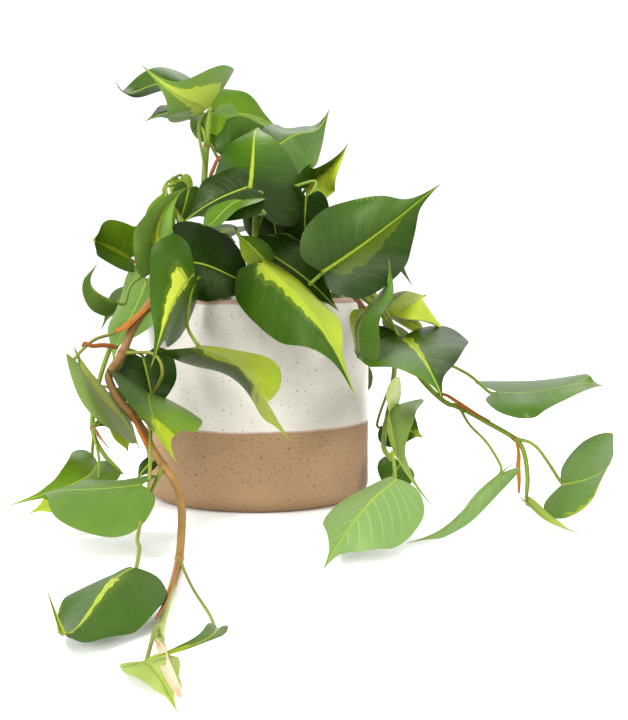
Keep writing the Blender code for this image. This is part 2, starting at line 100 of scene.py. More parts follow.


# Each leafy stem: its thickness at both ends and its route (mm), how tan its bark is, and its leaves. A leaf
# has the point of the route where its petiole starts, the ends of its midrib, its width and the way it faces.
# tone goes from dark to bright green and holds painted shade as well as the leaf's own green; grey adds a
# silvery cast that is partly a painted sheen; two slopes paint light and shade from the notch to the tip and
# from one half to the other; curl bends the tip. band and patch are lime sectors: from one share across (-1
# left margin, 1 right margin) to another, their first row, strength.
leafyStems = {
    "stem_upright": dict(thick=2.6, thin=1.8, tan=(0.15, 0.0), route=(
        (-17, -14, 90), (-17, -14, 121), (-25, -18, 158), (-34, -17, 197), (-33, -10, 234), (-31, 0, 258)),
        leaves=(
        leaf(3, (-35, -24, 255), (-71, -73, 280), 54, (0.27, 0.27, 0.92), bow=-0.13, hook=0.04, skew=-0.3,
             fold=(57, -34), cup=-0.22, tone=0.62, greyAndSheen=0.2, band=(-0.6, 0.35, 0.0, 0.9), pale=0.4, rib=0.2),
        leaf(5, (-43, 6, 274), (-89, -27, 270), 36, (0.46, -0.7, 0.54), bow=-0.14, hook=0.1, skew=0.12,
             fold=(36, -12), tone=0.18, paintedLightToRight=0.4, curl=(-3, 0, 7)),
        leaf(4, (-44, 4, 258), (-74, -12, 250), 28, (0.0, -0.5, 0.85), tone=0.2, greyAndSheen=0.1),
        leaf(5, (-30, 10, 257), (-20, 2, 231), 34, (-0.1, 0.95, 0.2), tone=0.6, greyAndSheen=0.4, veins=0.5),
        leaf(5, (-30, 11, 258), (15, 37, 250), 42, (0.4, -0.72, 0.5), bow=0.12, fold=12, tone=0.75,
             paintedLightToRight=0.3),
        leaf(4, (-20.3, -8.0, 226.7), (23.7, 2.0, 240.7), 58, (0.1, -0.9, 0.4), fold=4, tone=0.34),
    )),
    "stem_centre": dict(thick=2.6, thin=1.8, tan=(0.1, 0.0), route=(
        (5, -30, 90), (5, -32, 121), (2, -44, 145), (-1, -52, 170), (0, -54, 190), (5, -44, 212),
        (10, -34, 228)),
        leaves=(
        leaf(4, (-5, -81, 199), (2, -15, 246), 67, (-0.26, -0.54, 0.8), bow=0.13, hook=-0.03, skew=0.03,
             fold=(-12, -41), tone=0.12, paintedLightToTip=1.8, band=(-0.06, 0.05, 0.3, 1.0), rib=1.4),
        leaf(3, (-4, -103, 197), (-34, -134, 183), 26, (-0.1, -0.34, 0.94), bow=-0.1, hook=0.07, skew=0.11,
             fold=10, tone=0.6),
        leaf(4, (-6, -98, 204), (-44, -102, 183), 42, (-0.3, -0.8, 0.5), tone=0.0),
        leaf(6, (13, -27, 233), (50, 19, 262), 48, (0.04, -0.55, 0.83), bow=-0.03, hook=0.06, skew=0.07,
             fold=(-3, -57), tone=0.34, greyAndSheen=0.2, paintedLightToRight=0.5),
        leaf(5, (32, -36, 206), (59, -49, 235), 36, (-0.15, -0.95, -0.29), bow=0.14, hook=-0.14, skew=0.04,
             fold=(52, 44), tone=0.3, band=(-0.05, 1.2, 0.05, 1.0)),
        leaf(4, (31, -60, 199), (35, -38, 162), 36, (-0.5, -0.6, -0.6), bow=0.1, fold=-8, cup=-0.22,
             tone=0.0),
        leaf(3, (10, -40, 194), (14, -38, 158), 40, (0.0, -0.95, 0.3), tone=0.0),
    )),
    "stem_front_right": dict(thick=2.6, thin=2.0, tan=(0.15, 0.1), route=(
        (26, -38, 90), (26, -40, 121), (32, -54, 140), (44, -66, 146), (60, -72, 142), (76, -72, 129)),
        leaves=(
        leaf(3, (40, -92, 153), (119, -38, 209), 73, (0.24, -0.84, 0.48), bow=-0.11, skew=-0.01,
             fold=(41, 29), tone=0.17, paintedLightToTip=0.3, paintedLightToRight=-0.3, band=(-0.03, 0.04, 0.3, 1.0),
             patch=(0.0, 0.4, 0.3, 0.1), pale=0.5, rib=1.4),
        leaf(2, (3, -100, 159), (58, -145, 79), 58, (-0.04, -0.88, 0.47), bow=0.23, hook=-0.03, skew=-0.02,
             fold=(-51, -30), tone=0.26, band=(-1.2, 0.2, 0.04, 0.8)),
        leaf(3, (8, -74, 164), (51, -82, 128), 44, (0.2, -0.8, 0.5), tone=0.05),
        leaf(4, (62, -99, 105), (80, -93, 162), 35, (-0.57, -0.71, 0.42), bow=0.0, hook=0.12, skew=-0.01,
             fold=(-30, 11), tone=0.55, greyAndSheen=0.15, patch=(-1.2, -0.3, 0.2, 0.9), pale=0.2),
        leaf(4, (78, -61, 129), (121, -62, 112), 41, (-0.22, -0.86, -0.46), bow=0.22, hook=0.09, skew=-0.18,
             fold=-52, tone=0.5, band=(-1.2, 1.2, 0.24, 0.95)),
        leaf(5, (92, -72, 112), (107, -148, 81), 70, (-0.13, -0.33, 0.93), tone=0.32, paintedLightToRight=0.6,
             band=(-0.09, 0.1, 0.35, 1.0), rib=1.0),
        leaf(5, (73, -68, 112), (97, -74, 94), 24, (0.2, -0.8, 0.5), tone=0.1),
        leaf(2, (28, -62, 167), (6, -66, 176), 20, (0.2, -0.5, 0.85), tone=0.1, band=(0.5, 1.2, 0.1, 0.8)),
        leaf(2, (4, -84, 160), (-14, -78, 177), 20, (-0.3, -0.5, 0.8), tone=0.45,
             band=(-1.2, 0.1, 0.2, 0.35)),
    )),
    "stem_left_crown": dict(thick=2.6, thin=1.8, tan=(0.15, 0.0), route=(
        (-18, -34, 90), (-18, -36, 121), (-26, -46, 152), (-40, -48, 174), (-52, -42, 190), (-60, -34, 204)),
        leaves=(
        leaf(1, (-38, -88, 152), (-61, -149, 98), 65, (0.52, -0.66, 0.54), bow=0.13, hook=-0.01, skew=0.08,
             fold=(-57, 29), tone=0.42, pale=0.7, band=(-0.1, 0.36, 0.42, 1.0)),
        leaf(3, (-44, -75, 159), (-7, -47, 150), 53, (0.46, -0.74, -0.49), bow=0.28, hook=-0.12, skew=-0.08,
             fold=(-57, 32), tone=0.0),
        leaf(3, (-66, -54, 155), (-42, -47, 207), 39, (0.04, -0.99, 0.13), bow=0.2, hook=-0.12, skew=-0.14,
             fold=(52, 39), tone=0.9, greyAndSheen=0.45, band=(-0.12, 0.25, 0.3, 0.9)),
        leaf(2, (-71, -45, 146), (-91, -63, 94), 45, (-0.59, -0.66, 0.46), bow=-0.03, hook=-0.03, skew=0.08,
             fold=3, via=((-48, -46, 156),), tone=0.7, greyAndSheen=0.35, band=(-1.2, 1.2, -0.1, 0.0)),
        leaf(2, (-88, -59, 133), (-97, -81, 159), 27, (-0.94, 0.34, -0.03), bow=0.18, hook=-0.08, skew=0.2,
             fold=(77, 49), via=((-56, -42, 155), (-78, -54, 146)), tone=0.5, band=(-0.7, 0.1, 0.3, 0.8)),
        leaf(4, (-83, -28, 161), (-100, -68, 171), 38, (0.62, -0.43, -0.65), bow=-0.29, skew=-0.09,
             fold=(73, 2), tone=0.68, paintedLightToRight=0.3, band=(-0.08, 0.1, 0.2, 0.8)),
        leaf(4, (-63, -46, 178), (-57, -40, 208), 20, (0.1, -0.85, 0.45), tone=0.8),
        leaf(5, (-50, -20, 212), (-46, -22, 190), 16, (-0.2, -0.8, 0.5), tone=0.55,
             band=(-1.2, 1.2, 0.1, 0.3)),
        leaf(5, (-44, -34, 205), (-52, -38, 178), 20, (0.4, -0.8, 0.4), tone=0.25),
        leaf(2, (-35, -128, 110), (20, -136, 54), 79, (-0.71, -0.09, -0.7), bow=-0.12, hook=-0.03, skew=0.3,
             fold=(6, 29), via=((-38, -80, 147), (-42, -104, 124)), tone=0.2, band=(-1.2, 0.1, 0.08, 0.8),
             patch=(-1.2, 1.2, 0.68, 0.8), pale=0.1),
    )),
    "vine_left_front": dict(thick=2.8, thin=1.8, tan=(1.0, 0.75), pale=0.9, route=(
        (-36, -32, 90), (-37, -34, 121), (-50, -55, 143), (-63, -74, 137), (-75, -87, 120), (-82, -92, 104),
        (-89, -98, 93), (-89, -102, 88), (-83, -107, 77), (-74, -113, 68), (-67, -119, 59), (-62, -125, 50),
        (-55, -133, 41), (-47, -146, 32), (-43, -163, 22), (-42, -186, 11), (-42, -209, 3.2),
        (-42, -255, 2.6), (-43, -300, 2.4), (-43, -338, 2.4), (-42, -360, 2.4), (-37, -392, 2.4),
        (-30, -426, 2.4)),
        leaves=(
        leaf(3, (-106, -108, 98), (-72, -76, 38), 56, (0.63, 0.48, 0.61), bow=-0.02, hook=-0.02, skew=0.11,
             fold=(42, -33), via=((-84, -90, 118), (-99, -100, 112)), tone=1.0, greyAndSheen=1.0,
             band=(-0.5, 0.12, 0.15, 1.0), pale=0.7, patch=(-1.2, 1.2, -0.1, 0.15)),
        leaf(5, (-66, -89, 79), (-46, -148, 44), 68, (0.23, -0.44, 0.87), bow=0.16, hook=0.02, skew=0.13,
             fold=(-13, 41), via=((-63, -99, 104), (-57, -104, 93)), tone=0.55, greyAndSheen=0.3, paintedLightToRight=-1.6,
             band=(-1.2, 1.2, 0.78, 0.9)),
        leaf(5, (-70, -84, 100), (-62, -90, 62), 38, (0.1, -0.85, 0.5), tone=0.05),
        leaf(9, (-65, -173, 37), (-125, -147, 27), 72, (-0.2, -0.06, 0.98), bow=0.04, hook=-0.01, skew=-0.12,
             fold=(-11, 6), via=((-64, -122, 65), (-62, -140, 54)), tone=0.62, greyAndSheen=0.15),
        leaf(12, (-62, -128, 43), (-71, -136, 33), 9, (0.0, -0.8, 0.5), tone=0.1),
        leaf(12, (-57.5, -313, 23), (-80, -400, 17), 45, (0.06, -0.09, 0.99), bow=-0.05, hook=0.04,
             skew=0.02, fold=(-31, -23), via=((-62, -165, 26), (-62, -230, 20), (-57, -280, 24)), tone=0.36,
             band=(-0.1, 0.12, 0.45, 0.9), patch=(-1.2, 1.2, 0.9, 0.9), pale=0.3, curl=(-4, 0, 20)),
        leaf(16, (-17, -371, 10), (-55, -408, 5), 10, (0.0, -0.1, 1.0), bow=0.11, skew=-0.3, fold=(24, 24),
             via=((-32, -275, 4), (-21, -340, 7)), tone=0.35, greyAndSheen=0.3, band=(-1.2, 1.2, 0.72, 0.9),
             pale=0.3),
        leaf(20, (-45, -400, 5), (-29, -453, 1.8), 22, (-0.1, -0.25, 0.95), fold=(10, 10), tone=0.9,
             greyAndSheen=0.8, patch=(-1.2, 1.2, -0.1, 0.35), pale=1.0),
    )),
    "vine_left_second": dict(thick=2.0, thin=1.4, tan=(0.1, 0.0), route=(
        (-48, -8, 90), (-49, -10, 121), (-60, -28, 143), (-78, -32, 132), (-93, -46, 106), (-101, -64, 78),
        (-102, -80, 56), (-94, -92, 42), (-82, -100, 31)),
        leaves=(
        leaf(5, (-81, -67, 72), (-104, -71, 54), 24, (0.2, -0.85, 0.4), tone=0.35),
        leaf(6, (-88, -63, 57), (-81, -67, 38), 13, (0.1, -0.9, 0.3), fold=16, tone=0.6,
             band=(-1.2, 1.2, 0.15, 0.8)),
        leaf(6, (-99, -83, 36), (-150, -128, 16), 33, (0.27, -0.62, 0.74), bow=0.3, hook=-0.01, skew=-0.26,
             fold=(28, -6), tone=0.75, rib=0.9),
        leaf(6, (-99, -128, 23), (-134, -140, 14), 22, (0.1, -0.7, 0.7), via=((-95, -108, 38),), tone=0.6,
             band=(-1.2, 1.2, 0.3, 0.9)),
    )),
    "vine_right": dict(thick=2.2, thin=1.4, tan=(0.1, 0.0), route=(
        (42, -18, 90), (43, -20, 121), (55, -30, 143), (73, -38, 137), (90, -48, 108), (104, -58, 85),
        (119, -64, 70), (128, -68, 67), (143, -77, 59), (159, -90, 50), (164, -96, 42), (165, -103, 28),
        (163, -110, 16)),
        leaves=(
        leaf(4, (150, -79, 78), (223, -76, 78), 69, (0.03, -0.91, 0.4), bow=0.22, hook=-0.12, skew=0.03,
             fold=(-55, 51), via=((112, -60, 98), (133, -67, 88)), tone=0.5, greyAndSheen=0.12, paintedLightToTip=0.3),
        leaf(9, (185, -108, 24), (202, -159, 46), 65, (-0.83, -0.43, -0.36), bow=-0.09, hook=0.02, skew=0.07,
             fold=(-57, 63), via=((171, -98, 46),), tone=0.6, greyAndSheen=0.45, patch=(0.86, 1.2, 0.35, 0.6),
             rib=1.0),
        leaf(12, (163.8, -113, 13.5), (188.4, -151.3, 2.5), 12, (0.3, -0.3, 0.9), bow=-0.07, fold=20,
             tone=1.0, greyAndSheen=1.0, patch=(-1.2, 1.2, -0.1, 0.5), pale=1.0),
        leaf(7, (145, -126, 34), (82, -176, 3), 19, (0.67, -0.69, -0.27), bow=0.01, hook=-0.02, skew=-0.08,
             fold=(29, 33), via=((132, -82, 58), (141, -98, 48)), tone=0.7, greyAndSheen=0.75, veins=0.25),
    )),
    "vine_right_low": dict(thick=2.0, thin=1.5, tan=(0.15, 0.05), route=(
        (48, 4, 90), (49, 4, 121), (62, 0, 143), (80, -10, 134), (90, -28, 100), (86, -52, 74), (80, -80, 58),
        (76, -110, 48), (78, -140, 45)),
        leaves=(
        leaf(5, (91, -50, 67), (105, -123, 13), 39, (0.67, -0.36, 0.65), bow=0.03, hook=0.02, skew=0.3,
             fold=52, tone=1.0, greyAndSheen=1.0, patch=(-1.2, 1.2, -0.1, 0.15), band=(0.0, 1.2, 0.0, 0.5), pale=0.9),
        leaf(5, (88, -10, 50), (112, -16, 40), 32, (0.0, -0.85, 0.5), tone=0.3, band=(-1.2, 1.2, 0.85, 0.8)),
        leaf(6, (94, -30, 24), (80, -46, 8), 26, (0.1, -0.8, 0.5), tone=0.5),
        leaf(8, (78, -171, 39), (33, -239, 3), 57, (0.37, -0.62, 0.7), bow=0.04, hook=0.01, skew=0.04,
             fold=(-16, -57), tone=0.85, greyAndSheen=0.8, rib=1.0, veins=0.22),
    )),
}

backStems = {
    # name, heading in degrees and seed
    "stems": (("stem_back_left", 134, 11), ("stem_back", 90, 5), ("stem_back_right", 41, 8)),
    "thick": 2.4, "thin": 1.6, "tan": (0.1, 0.0),
    # mm out from the axis and up, and how far and how often the stem sways aside
    "arch": ((34, 90), (35, 121), (44, 150), (62, 162), (82, 150), (94, 124), (99, 96), (102, 70), (104, 48)),
    "sway": 5, "swayOver": 19,
    # the leaves start on this point of the arch; each droops more (degrees) and is shorter than the last
    "leaves": 6, "from": 2, "droop": (6, 15, 5), "blade": 60.0, "shorter": 0.07, "uneven": 0.08,
    "slimness": 0.74, "bow": 0.12, "fold": 10,
    # mm from the stem to a blade: outwards, aside and up; and how far the blades spread and turn aside
    "petioleOut": (4, 10), "petioleAside": (8, 13), "petioleUp": (22, 2), "spread": 0.45, "turn": 0.1,
    # draws of the look: tone with painted shade, silver with painted sheen, the lime sector's middle and half
    # width, its first row and strength
    "tones": (0.15, 0.6), "greys": (0, 0.25), "middle": 0.5, "half": 0.25, "rows": (0.2, 0.5),
    "limes": (0, 0.9, 1), "lookSeeds": 100,
}


def backStem(heading, seed):
    # a stem that leans over the rim in its heading and hangs down outside; its leaves droop more and more
    form = backStems
    draw = random.Random(seed)
    away = np.array((math.cos(math.radians(heading)), math.sin(math.radians(heading)), 0))
    aside = np.array((-away[1], away[0], 0))
    rise = np.array((0, 0, 1.0))
    route = [away * out + rise * height + aside * form["sway"] * math.sin(height / form["swayOver"])
             for out, height in form["arch"]]
    leaves = []
    for k in range(form["leaves"]):
        hand = 1 if k % 2 else -1
        first, more, unsure = form["droop"]
        droop = math.radians(first + more * k + draw.uniform(-unsure, unsure))
        length = form["blade"] * (1 - form["shorter"] * k)
        length *= draw.uniform(1 - form["uneven"], 1 + form["uneven"])
        up, less = form["petioleUp"]
        base = (route[k + form["from"]] + away * draw.uniform(*form["petioleOut"])
                + aside * hand * draw.uniform(*form["petioleAside"]) + rise * (up - less * k))
        lean = unit(away * math.cos(droop) - rise * math.sin(droop) + aside * hand * form["spread"])
        face = rise * math.cos(droop) + away * math.sin(droop) + aside * hand * form["turn"]
        look = random.Random(seed * form["lookSeeds"] + k)
        middle, half = look.uniform(-form["middle"], form["middle"]), form["half"]
        leaves.append(leaf(
            k + form["from"], base, base + lean * length, form["slimness"] * length, face, bow=form["bow"],
            fold=form["fold"], tone=look.uniform(*form["tones"]), greyAndSheen=look.uniform(*form["greys"]),
            band=(middle - half, middle + half, look.uniform(*form["rows"]), look.choice(form["limes"]))))
    return dict(thick=form["thick"], thin=form["thin"], tan=form["tan"], route=route, leaves=leaves)


leafyStems.update({name: backStem(heading, seed) for name, heading, seed in backStems["stems"]})


def ease(values, low, high):
    # 0 below low, 1 above high, and a smooth S between
    t = np.clip((values - low) / (high - low), 0, 1)
    return t * t * (3 - 2 * t)


def smoothPath(points, step):
    # a Catmull-Rom curve through the points, about a step apart, all its samples worked out at once
    points = np.asarray(points, float)
    ends = np.concatenate([[2 * points[0] - points[1]], points, [2 * points[-1] - points[-2]]])
    spans = np.linalg.norm(np.diff(points, axis=0), axis=1)
    counts = np.maximum(2, np.round(spans / step).astype(int))
    where = [k + np.arange(count) / count for k, count in enumerate(counts)]
    where = np.concatenate(where + [[len(points) - 1.0]])
    k = np.minimum(where.astype(int), len(points) - 2)
    t = (where - k)[:, None]
    a, b, c, d = ends[k], ends[k + 1], ends[k + 2], ends[k + 3]
    square, cube = 2 * a - 5 * b + 4 * c - d, 3 * b - a - 3 * c + d
    return 0.5 * (2 * b + (c - a) * t + square * t * t + cube * t ** 3)


def thingOf(name, data):
    # an object of the mesh, light or camera, in the scene
    thing = bpy.data.objects.new(name, data)
    bpy.context.scene.collection.objects.link(thing)
    return thing


sharpFrom = 62      # degrees between two faces from which their edge is drawn sharp


class Mesher:
    # gathers closed grids of one piece, with what its paint reads at each point, and writes them as one mesh
    def __init__(self):
        self.points, self.quads, self.fans, self.slots, self.fanSlots = [], [], [], [], []
        self.widths = {"place": 3, "look": 4, "band": 4, "patch": 4, "extra": 4}
        self.attributes = {name: [] for name in self.widths}
        self.count = 0

    def add(self, rings, ends, slots=0, **values):
        # rings (rows, columns, 3) close round each row, and a fan to an end point closes the first and last
        # row; a value is one for all the points or one for each place of the rings, and what isn't given is 0
        rows, columns = rings.shape[:2]
        points = np.concatenate([rings.reshape(-1, 3), np.asarray(ends, float)])
        row, column = np.meshgrid(np.arange(rows - 1), np.arange(columns), indexing="ij")
        a, b = row * columns + column, row * columns + (column + 1) % columns
        quads = np.stack([a, b, b + columns, a + columns], -1).reshape(-1, 4)
        ring = np.arange(columns)
        last, size = (rows - 1) * columns, rows * columns
        fans = np.concatenate([
            np.stack([(ring + 1) % columns, ring, np.full(columns, size)], -1),
            np.stack([ring + last, (ring + 1) % columns + last, np.full(columns, size + 1)], -1)])
        corners = np.concatenate([fans, quads[:, :3], quads[:, [0, 2, 3]]])
        v = points[corners] - points.mean(0)
        # a closed shell of negative volume has its faces inwards, and is turned
        if np.einsum("ij,ij->i", v[:, 0], np.cross(v[:, 1], v[:, 2])).sum() < 0:
            quads, fans = quads[:, ::-1], fans[:, ::-1]
        slots = np.broadcast_to(slots, (columns,))
        self.points.append(points)
        self.quads.append(quads + self.count)
        self.fans.append(fans + self.count)
        self.slots.append(np.tile(slots, rows - 1))
        self.fanSlots.append(np.tile(slots, 2))
        for name, width in self.widths.items():
            value = np.asarray(values.get(name, 0), float)
            if value.ndim > 1:
                value = np.concatenate([value.reshape(-1, width), value[[0, -1], 0]])
            self.attributes[name].append(np.broadcast_to(value, (len(points), width)))
        self.count += len(points)

    def piece(self, name, materials):
        # the slots pick from the materials; "place" is stored as a vector, the rest as colours with alpha
        mesh = bpy.data.meshes.new(name)
        faces = np.concatenate(self.quads).tolist() + np.concatenate(self.fans).tolist()
        mesh.from_pydata((np.concatenate(self.points) * mm).tolist(), [], faces)
        slots = np.concatenate(self.slots + self.fanSlots).astype(np.int32)
        mesh.polygons.foreach_set("material_index", slots)
        mesh.polygons.foreach_set("use_smooth", np.ones(len(faces), bool))
        for key, values in self.attributes.items():
            values = np.concatenate(values).astype(np.float32)
            kind, field = ("FLOAT_VECTOR", "vector") if key == "place" else ("FLOAT_COLOR", "color")
            mesh.attributes.new(key, kind, "POINT").data.foreach_set(field, values.ravel())
        for material in materials:
            mesh.materials.append(material)
        mesh.validate()
        mesh.set_sharp_from_angle(angle=math.radians(sharpFrom))
        mesh.update()
        return thingOf(name, mesh)


def midribAt(blade, places):
    # the midrib is a straight line to the tip, plus an arch and an S out of the face and a swing to the right
    length = np.linalg.norm(blade["tip"] - blade["base"])
    along = (blade["tip"] - blade["base"]) / length
    face = unit(blade["face"] - blade["face"] @ along * along)
    side = np.cross(along, face)
    m = np.atleast_1d(places)[:, None]
    lift = blade["bow"] * np.sin(np.pi * m) + blade["hook"] * np.sin(2 * np.pi * m)
    slope = np.pi * (blade["bow"] * np.cos(np.pi * m) + 2 * blade["hook"] * np.cos(2 * np.pi * m))
    points = blade["base"] + length * (along * m + face * lift + side * blade["skew"] * np.sin(np.pi * m))
    points = points + blade["curl"] * ease(m, bladeForm["curlFrom"], 1.0) ** bladeForm["curlPower"]
    forward = unit(along + face * slope + side * blade["skew"] * np.pi * np.cos(np.pi * m))
    right = unit(side - (forward @ side)[:, None] * forward)
    return points, forward, right, np.cross(right, forward), length


def addBlade(mesher, blade, seed):
    # rows are side veins that fan out of the midrib, columns the share from the midrib to the margin. A
    # point is the vein's start + forward * ahead + right * out * cos(fold) + upper * lift, and the lift sums
    # the fold, the cup, the margin's waves and the quilt between the veins
    form = bladeForm
    outline = smoothPath(heart, form["outlineStep"] / form["rows"])
    pick = np.linspace(0, len(outline) - 1, form["rows"] + 1)[1:].astype(int)
    out, along, start = outline[pick].T
    t = pick / (len(outline) - 1)
    share = np.linspace(-1, 1, 2 * form["columns"] + 1)
    share = np.sign(share) * np.abs(share) ** form["crowding"]
    reach = np.abs(share)
    points, forward, right, upper, length = midribAt(blade, start)
    across = out[:, None] * share * blade["width"] / (2 * heartHalf)
    ahead = (along - start)[:, None] * reach * length
    arch = form["veinArch"] * length * out[:, None] * 4 * reach * (1 - reach)
    ahead = ahead - arch * ease(t, *form["archRows"])[:, None]
    fold = np.radians(np.where(share < 0, *blade["fold"]))
    lift = np.abs(across) * np.sin(fold) - blade["cup"] * across ** 2 / (heartHalf * length)
    size = min(1.0, blade["width"] / form["fullWidth"])
    leafShift, halfShift = form["waveShift"]
    phase = 2 * np.pi * form["waves"] * t[:, None] + seed * leafShift + np.where(share < 0, halfShift, 0.0)
    waves = form["wave"] * length * size * np.sin(phase) * reach ** form["waveEdge"]
    lift = lift + waves * (ease(t, *form["waveRows"][:2]) * (1 - ease(t, *form["waveRows"][2:])))[:, None]
    quilt = np.abs(np.sin(np.pi * form["veins"] * t))[:, None] * np.sin(np.pi * reach)
    lift = lift + form["quilt"] * length * quilt
    surface = (points[:, None] + forward[:, None] * ahead[..., None]
               + right[:, None] * (across * np.cos(fold))[..., None] + upper[:, None] * lift[..., None])
    ridge = size * np.exp(-(across / form["ribWidth"]) ** 2) * (1 - form["ribThinning"] * start)[:, None]
    half = form["thickness"] / 2 * (1 - reach ** form["rounding"])
    top = surface + upper[:, None] * (half - form["groove"] * ridge)[..., None]
    under = surface - upper[:, None] * (half + form["rib"] * ridge * (reach < 1))[..., None]
    rings = np.concatenate([top, under[:, -2:0:-1]], 1)
    shares = np.broadcast_to(np.concatenate([share, share[-2:0:-1]]), rings.shape[:2])
    spread = np.concatenate([across, across[:, -2:0:-1]], 1)
    place = np.stack([shares, np.broadcast_to(t[:, None], shares.shape), spread], -1)
    slots = np.repeat((slotOf["upper"], slotOf["under"]), len(share) - 1)
    look = (blade["tone"], blade["greyAndSheen"], seed * seedSteps["blade"] % 1, blade["rib"])
    extra = (blade["veins"], blade["paintedLightToTip"], blade["paintedLightToRight"], blade["pale"])
    mesher.add(rings, (blade["base"], midribAt(blade, 1.0)[0][0]), slots, place=place, look=look,
               band=blade["band"], patch=blade["patch"], extra=extra)


def distances(path):
    # along the path, from its start to each of its points
    return np.r_[0, np.cumsum(np.linalg.norm(np.diff(path, axis=0), axis=1))]


def sweep(path, ring):
    # ring (rows, columns, 2) is carried along the path, square to it, with one axis in the path's own plane
    tangent = unit(np.gradient(path, axis=0))
    flat = np.linalg.svd(path - path.mean(0))[2][2]
    side = unit(np.cross(tangent, flat))
    return path[:, None] + ring[..., :1] * side[:, None] + ring[..., 1:] * np.cross(side, tangent)[:, None]


def addShoot(mesher, path, radius, look, sides):
    # a round shoot: a circle of the radius at each place of the path
    angle = np.linspace(0, 2 * np.pi, sides, endpoint=False)
    ring = radius[:, None, None] * np.stack([np.cos(angle), np.sin(angle)], -1)
    place = np.stack(np.broadcast_arrays(angle / (2 * np.pi), distances(path)[:, None], 0.0), -1)
    mesher.add(sweep(path, ring), (path[0], path[-1]), slotOf["shoot"], place=place, look=look)


petioleForm = {
    "radius": 1.05, "sides": 10, "step": 3.0,
    "slimness": (0.7, 130),     # the radius grows from this share by the blade's width over this many mm
    "flare": (0.55, 0.08),      # how much thicker the foot is, and over which share of the length
    "collar": (0.15, 0.05),     # the same under the blade
    "end": 0.6,                 # the last ring's share of the radius
    "rise": 0.2,                # a petiole with no points given first rises by this share of its reach
    "hold": 5.0, "holdMost": 14.0, "holdShare": 0.4,    # mm from its last bend to the blade
    "lowest": 2.2,              # mm above the floor
    "sink": (2.5, 0.6),         # mm that it runs on under the midrib, and below it
}


def addPetiole(mesher, start, blade, look):
    # out of the stem, through the given points, round to the back of the blade and a little under its midrib
    form = petioleForm
    _, forward, _, upper, _ = midribAt(blade, 0.0)
    forward, upper = forward[0], upper[0]
    reach = np.linalg.norm(blade["base"] - start)
    hold = form["hold"] if blade["via"] else min(form["holdMost"], form["holdShare"] * reach)
    arrive = blade["base"] - unit(forward + upper) * hold
    arrive[2] = max(arrive[2], form["lowest"])
    rise = form["rise"]
    first = [] if blade["via"] else [start + (blade["base"] - start) * rise + np.array((0, 0, rise * reach))]
    ahead, below = form["sink"]
    knots = [start, *first, *blade["via"], arrive, blade["base"] + forward * ahead - upper * below]
    path = smoothPath(knots, form["step"])
    t = np.linspace(0, 1, len(path))
    slim = min(1.0, form["slimness"][0] + blade["width"] / form["slimness"][1])
    (flare, flareShare), (collar, collarShare) = form["flare"], form["collar"]
    swelling = flare * np.exp(-(t / flareShare) ** 2) + collar * np.exp(-((t - 1) / collarShare) ** 2)
    radius = form["radius"] * slim * (1 + swelling)
    radius[-1] *= form["end"]
    addShoot(mesher, path, radius, look, form["sides"])


stemForm = {
    "step": 3.0, "sides": 14, "lowest": 2.0,    # mm above the floor
    "swelling": 0.22, "ringLength": 2.2,        # of a node, as a share of the radius and in mm
    "taper": (0.9, 0.75, 0.5),                  # the radius of the last three rings
    "paleFrom": (0.66, 0.72),                   # where a vine with a pale end turns pale
}


def addStem(mesher, stem):
    # thins from its foot to its tip, swells a little and turns brown at each node
    form = stemForm
    knots = np.array(stem["route"], float)
    path = smoothPath(knots, form["step"])
    path[:, 2] = np.maximum(path[:, 2], form["lowest"])
    t = np.linspace(0, 1, len(path))
    distance = distances(path)
    joints = sorted({blade["joint"] for blade in stem["leaves"]})
    nodes = np.array([distance[np.argmin(np.linalg.norm(path - knots[joint], axis=1))] for joint in joints])
    bump = np.exp(-((distance[:, None] - nodes) / form["ringLength"]) ** 2).max(1)
    radius = (stem["thick"] + (stem["thin"] - stem["thick"]) * t) * (1 + form["swelling"] * bump)
    radius[-len(form["taper"]):] *= form["taper"]
    green = 1 - stem.get("pale", 0) * ease(t, *form["paleFrom"])
    tan = (stem["tan"][0] + (stem["tan"][1] - stem["tan"][0]) * t) * green
    look = np.stack([tan, bump, np.full_like(tan, stemSeed), green], -1)
    addShoot(mesher, path, radius, np.repeat(look[:, None], form["sides"], 1), form["sides"])
    return knots


def sheath(width, wrap, hue, *points):
    # one dry sheath along its points
    return dict(width=width, wrap=wrap, hue=hue, points=points)


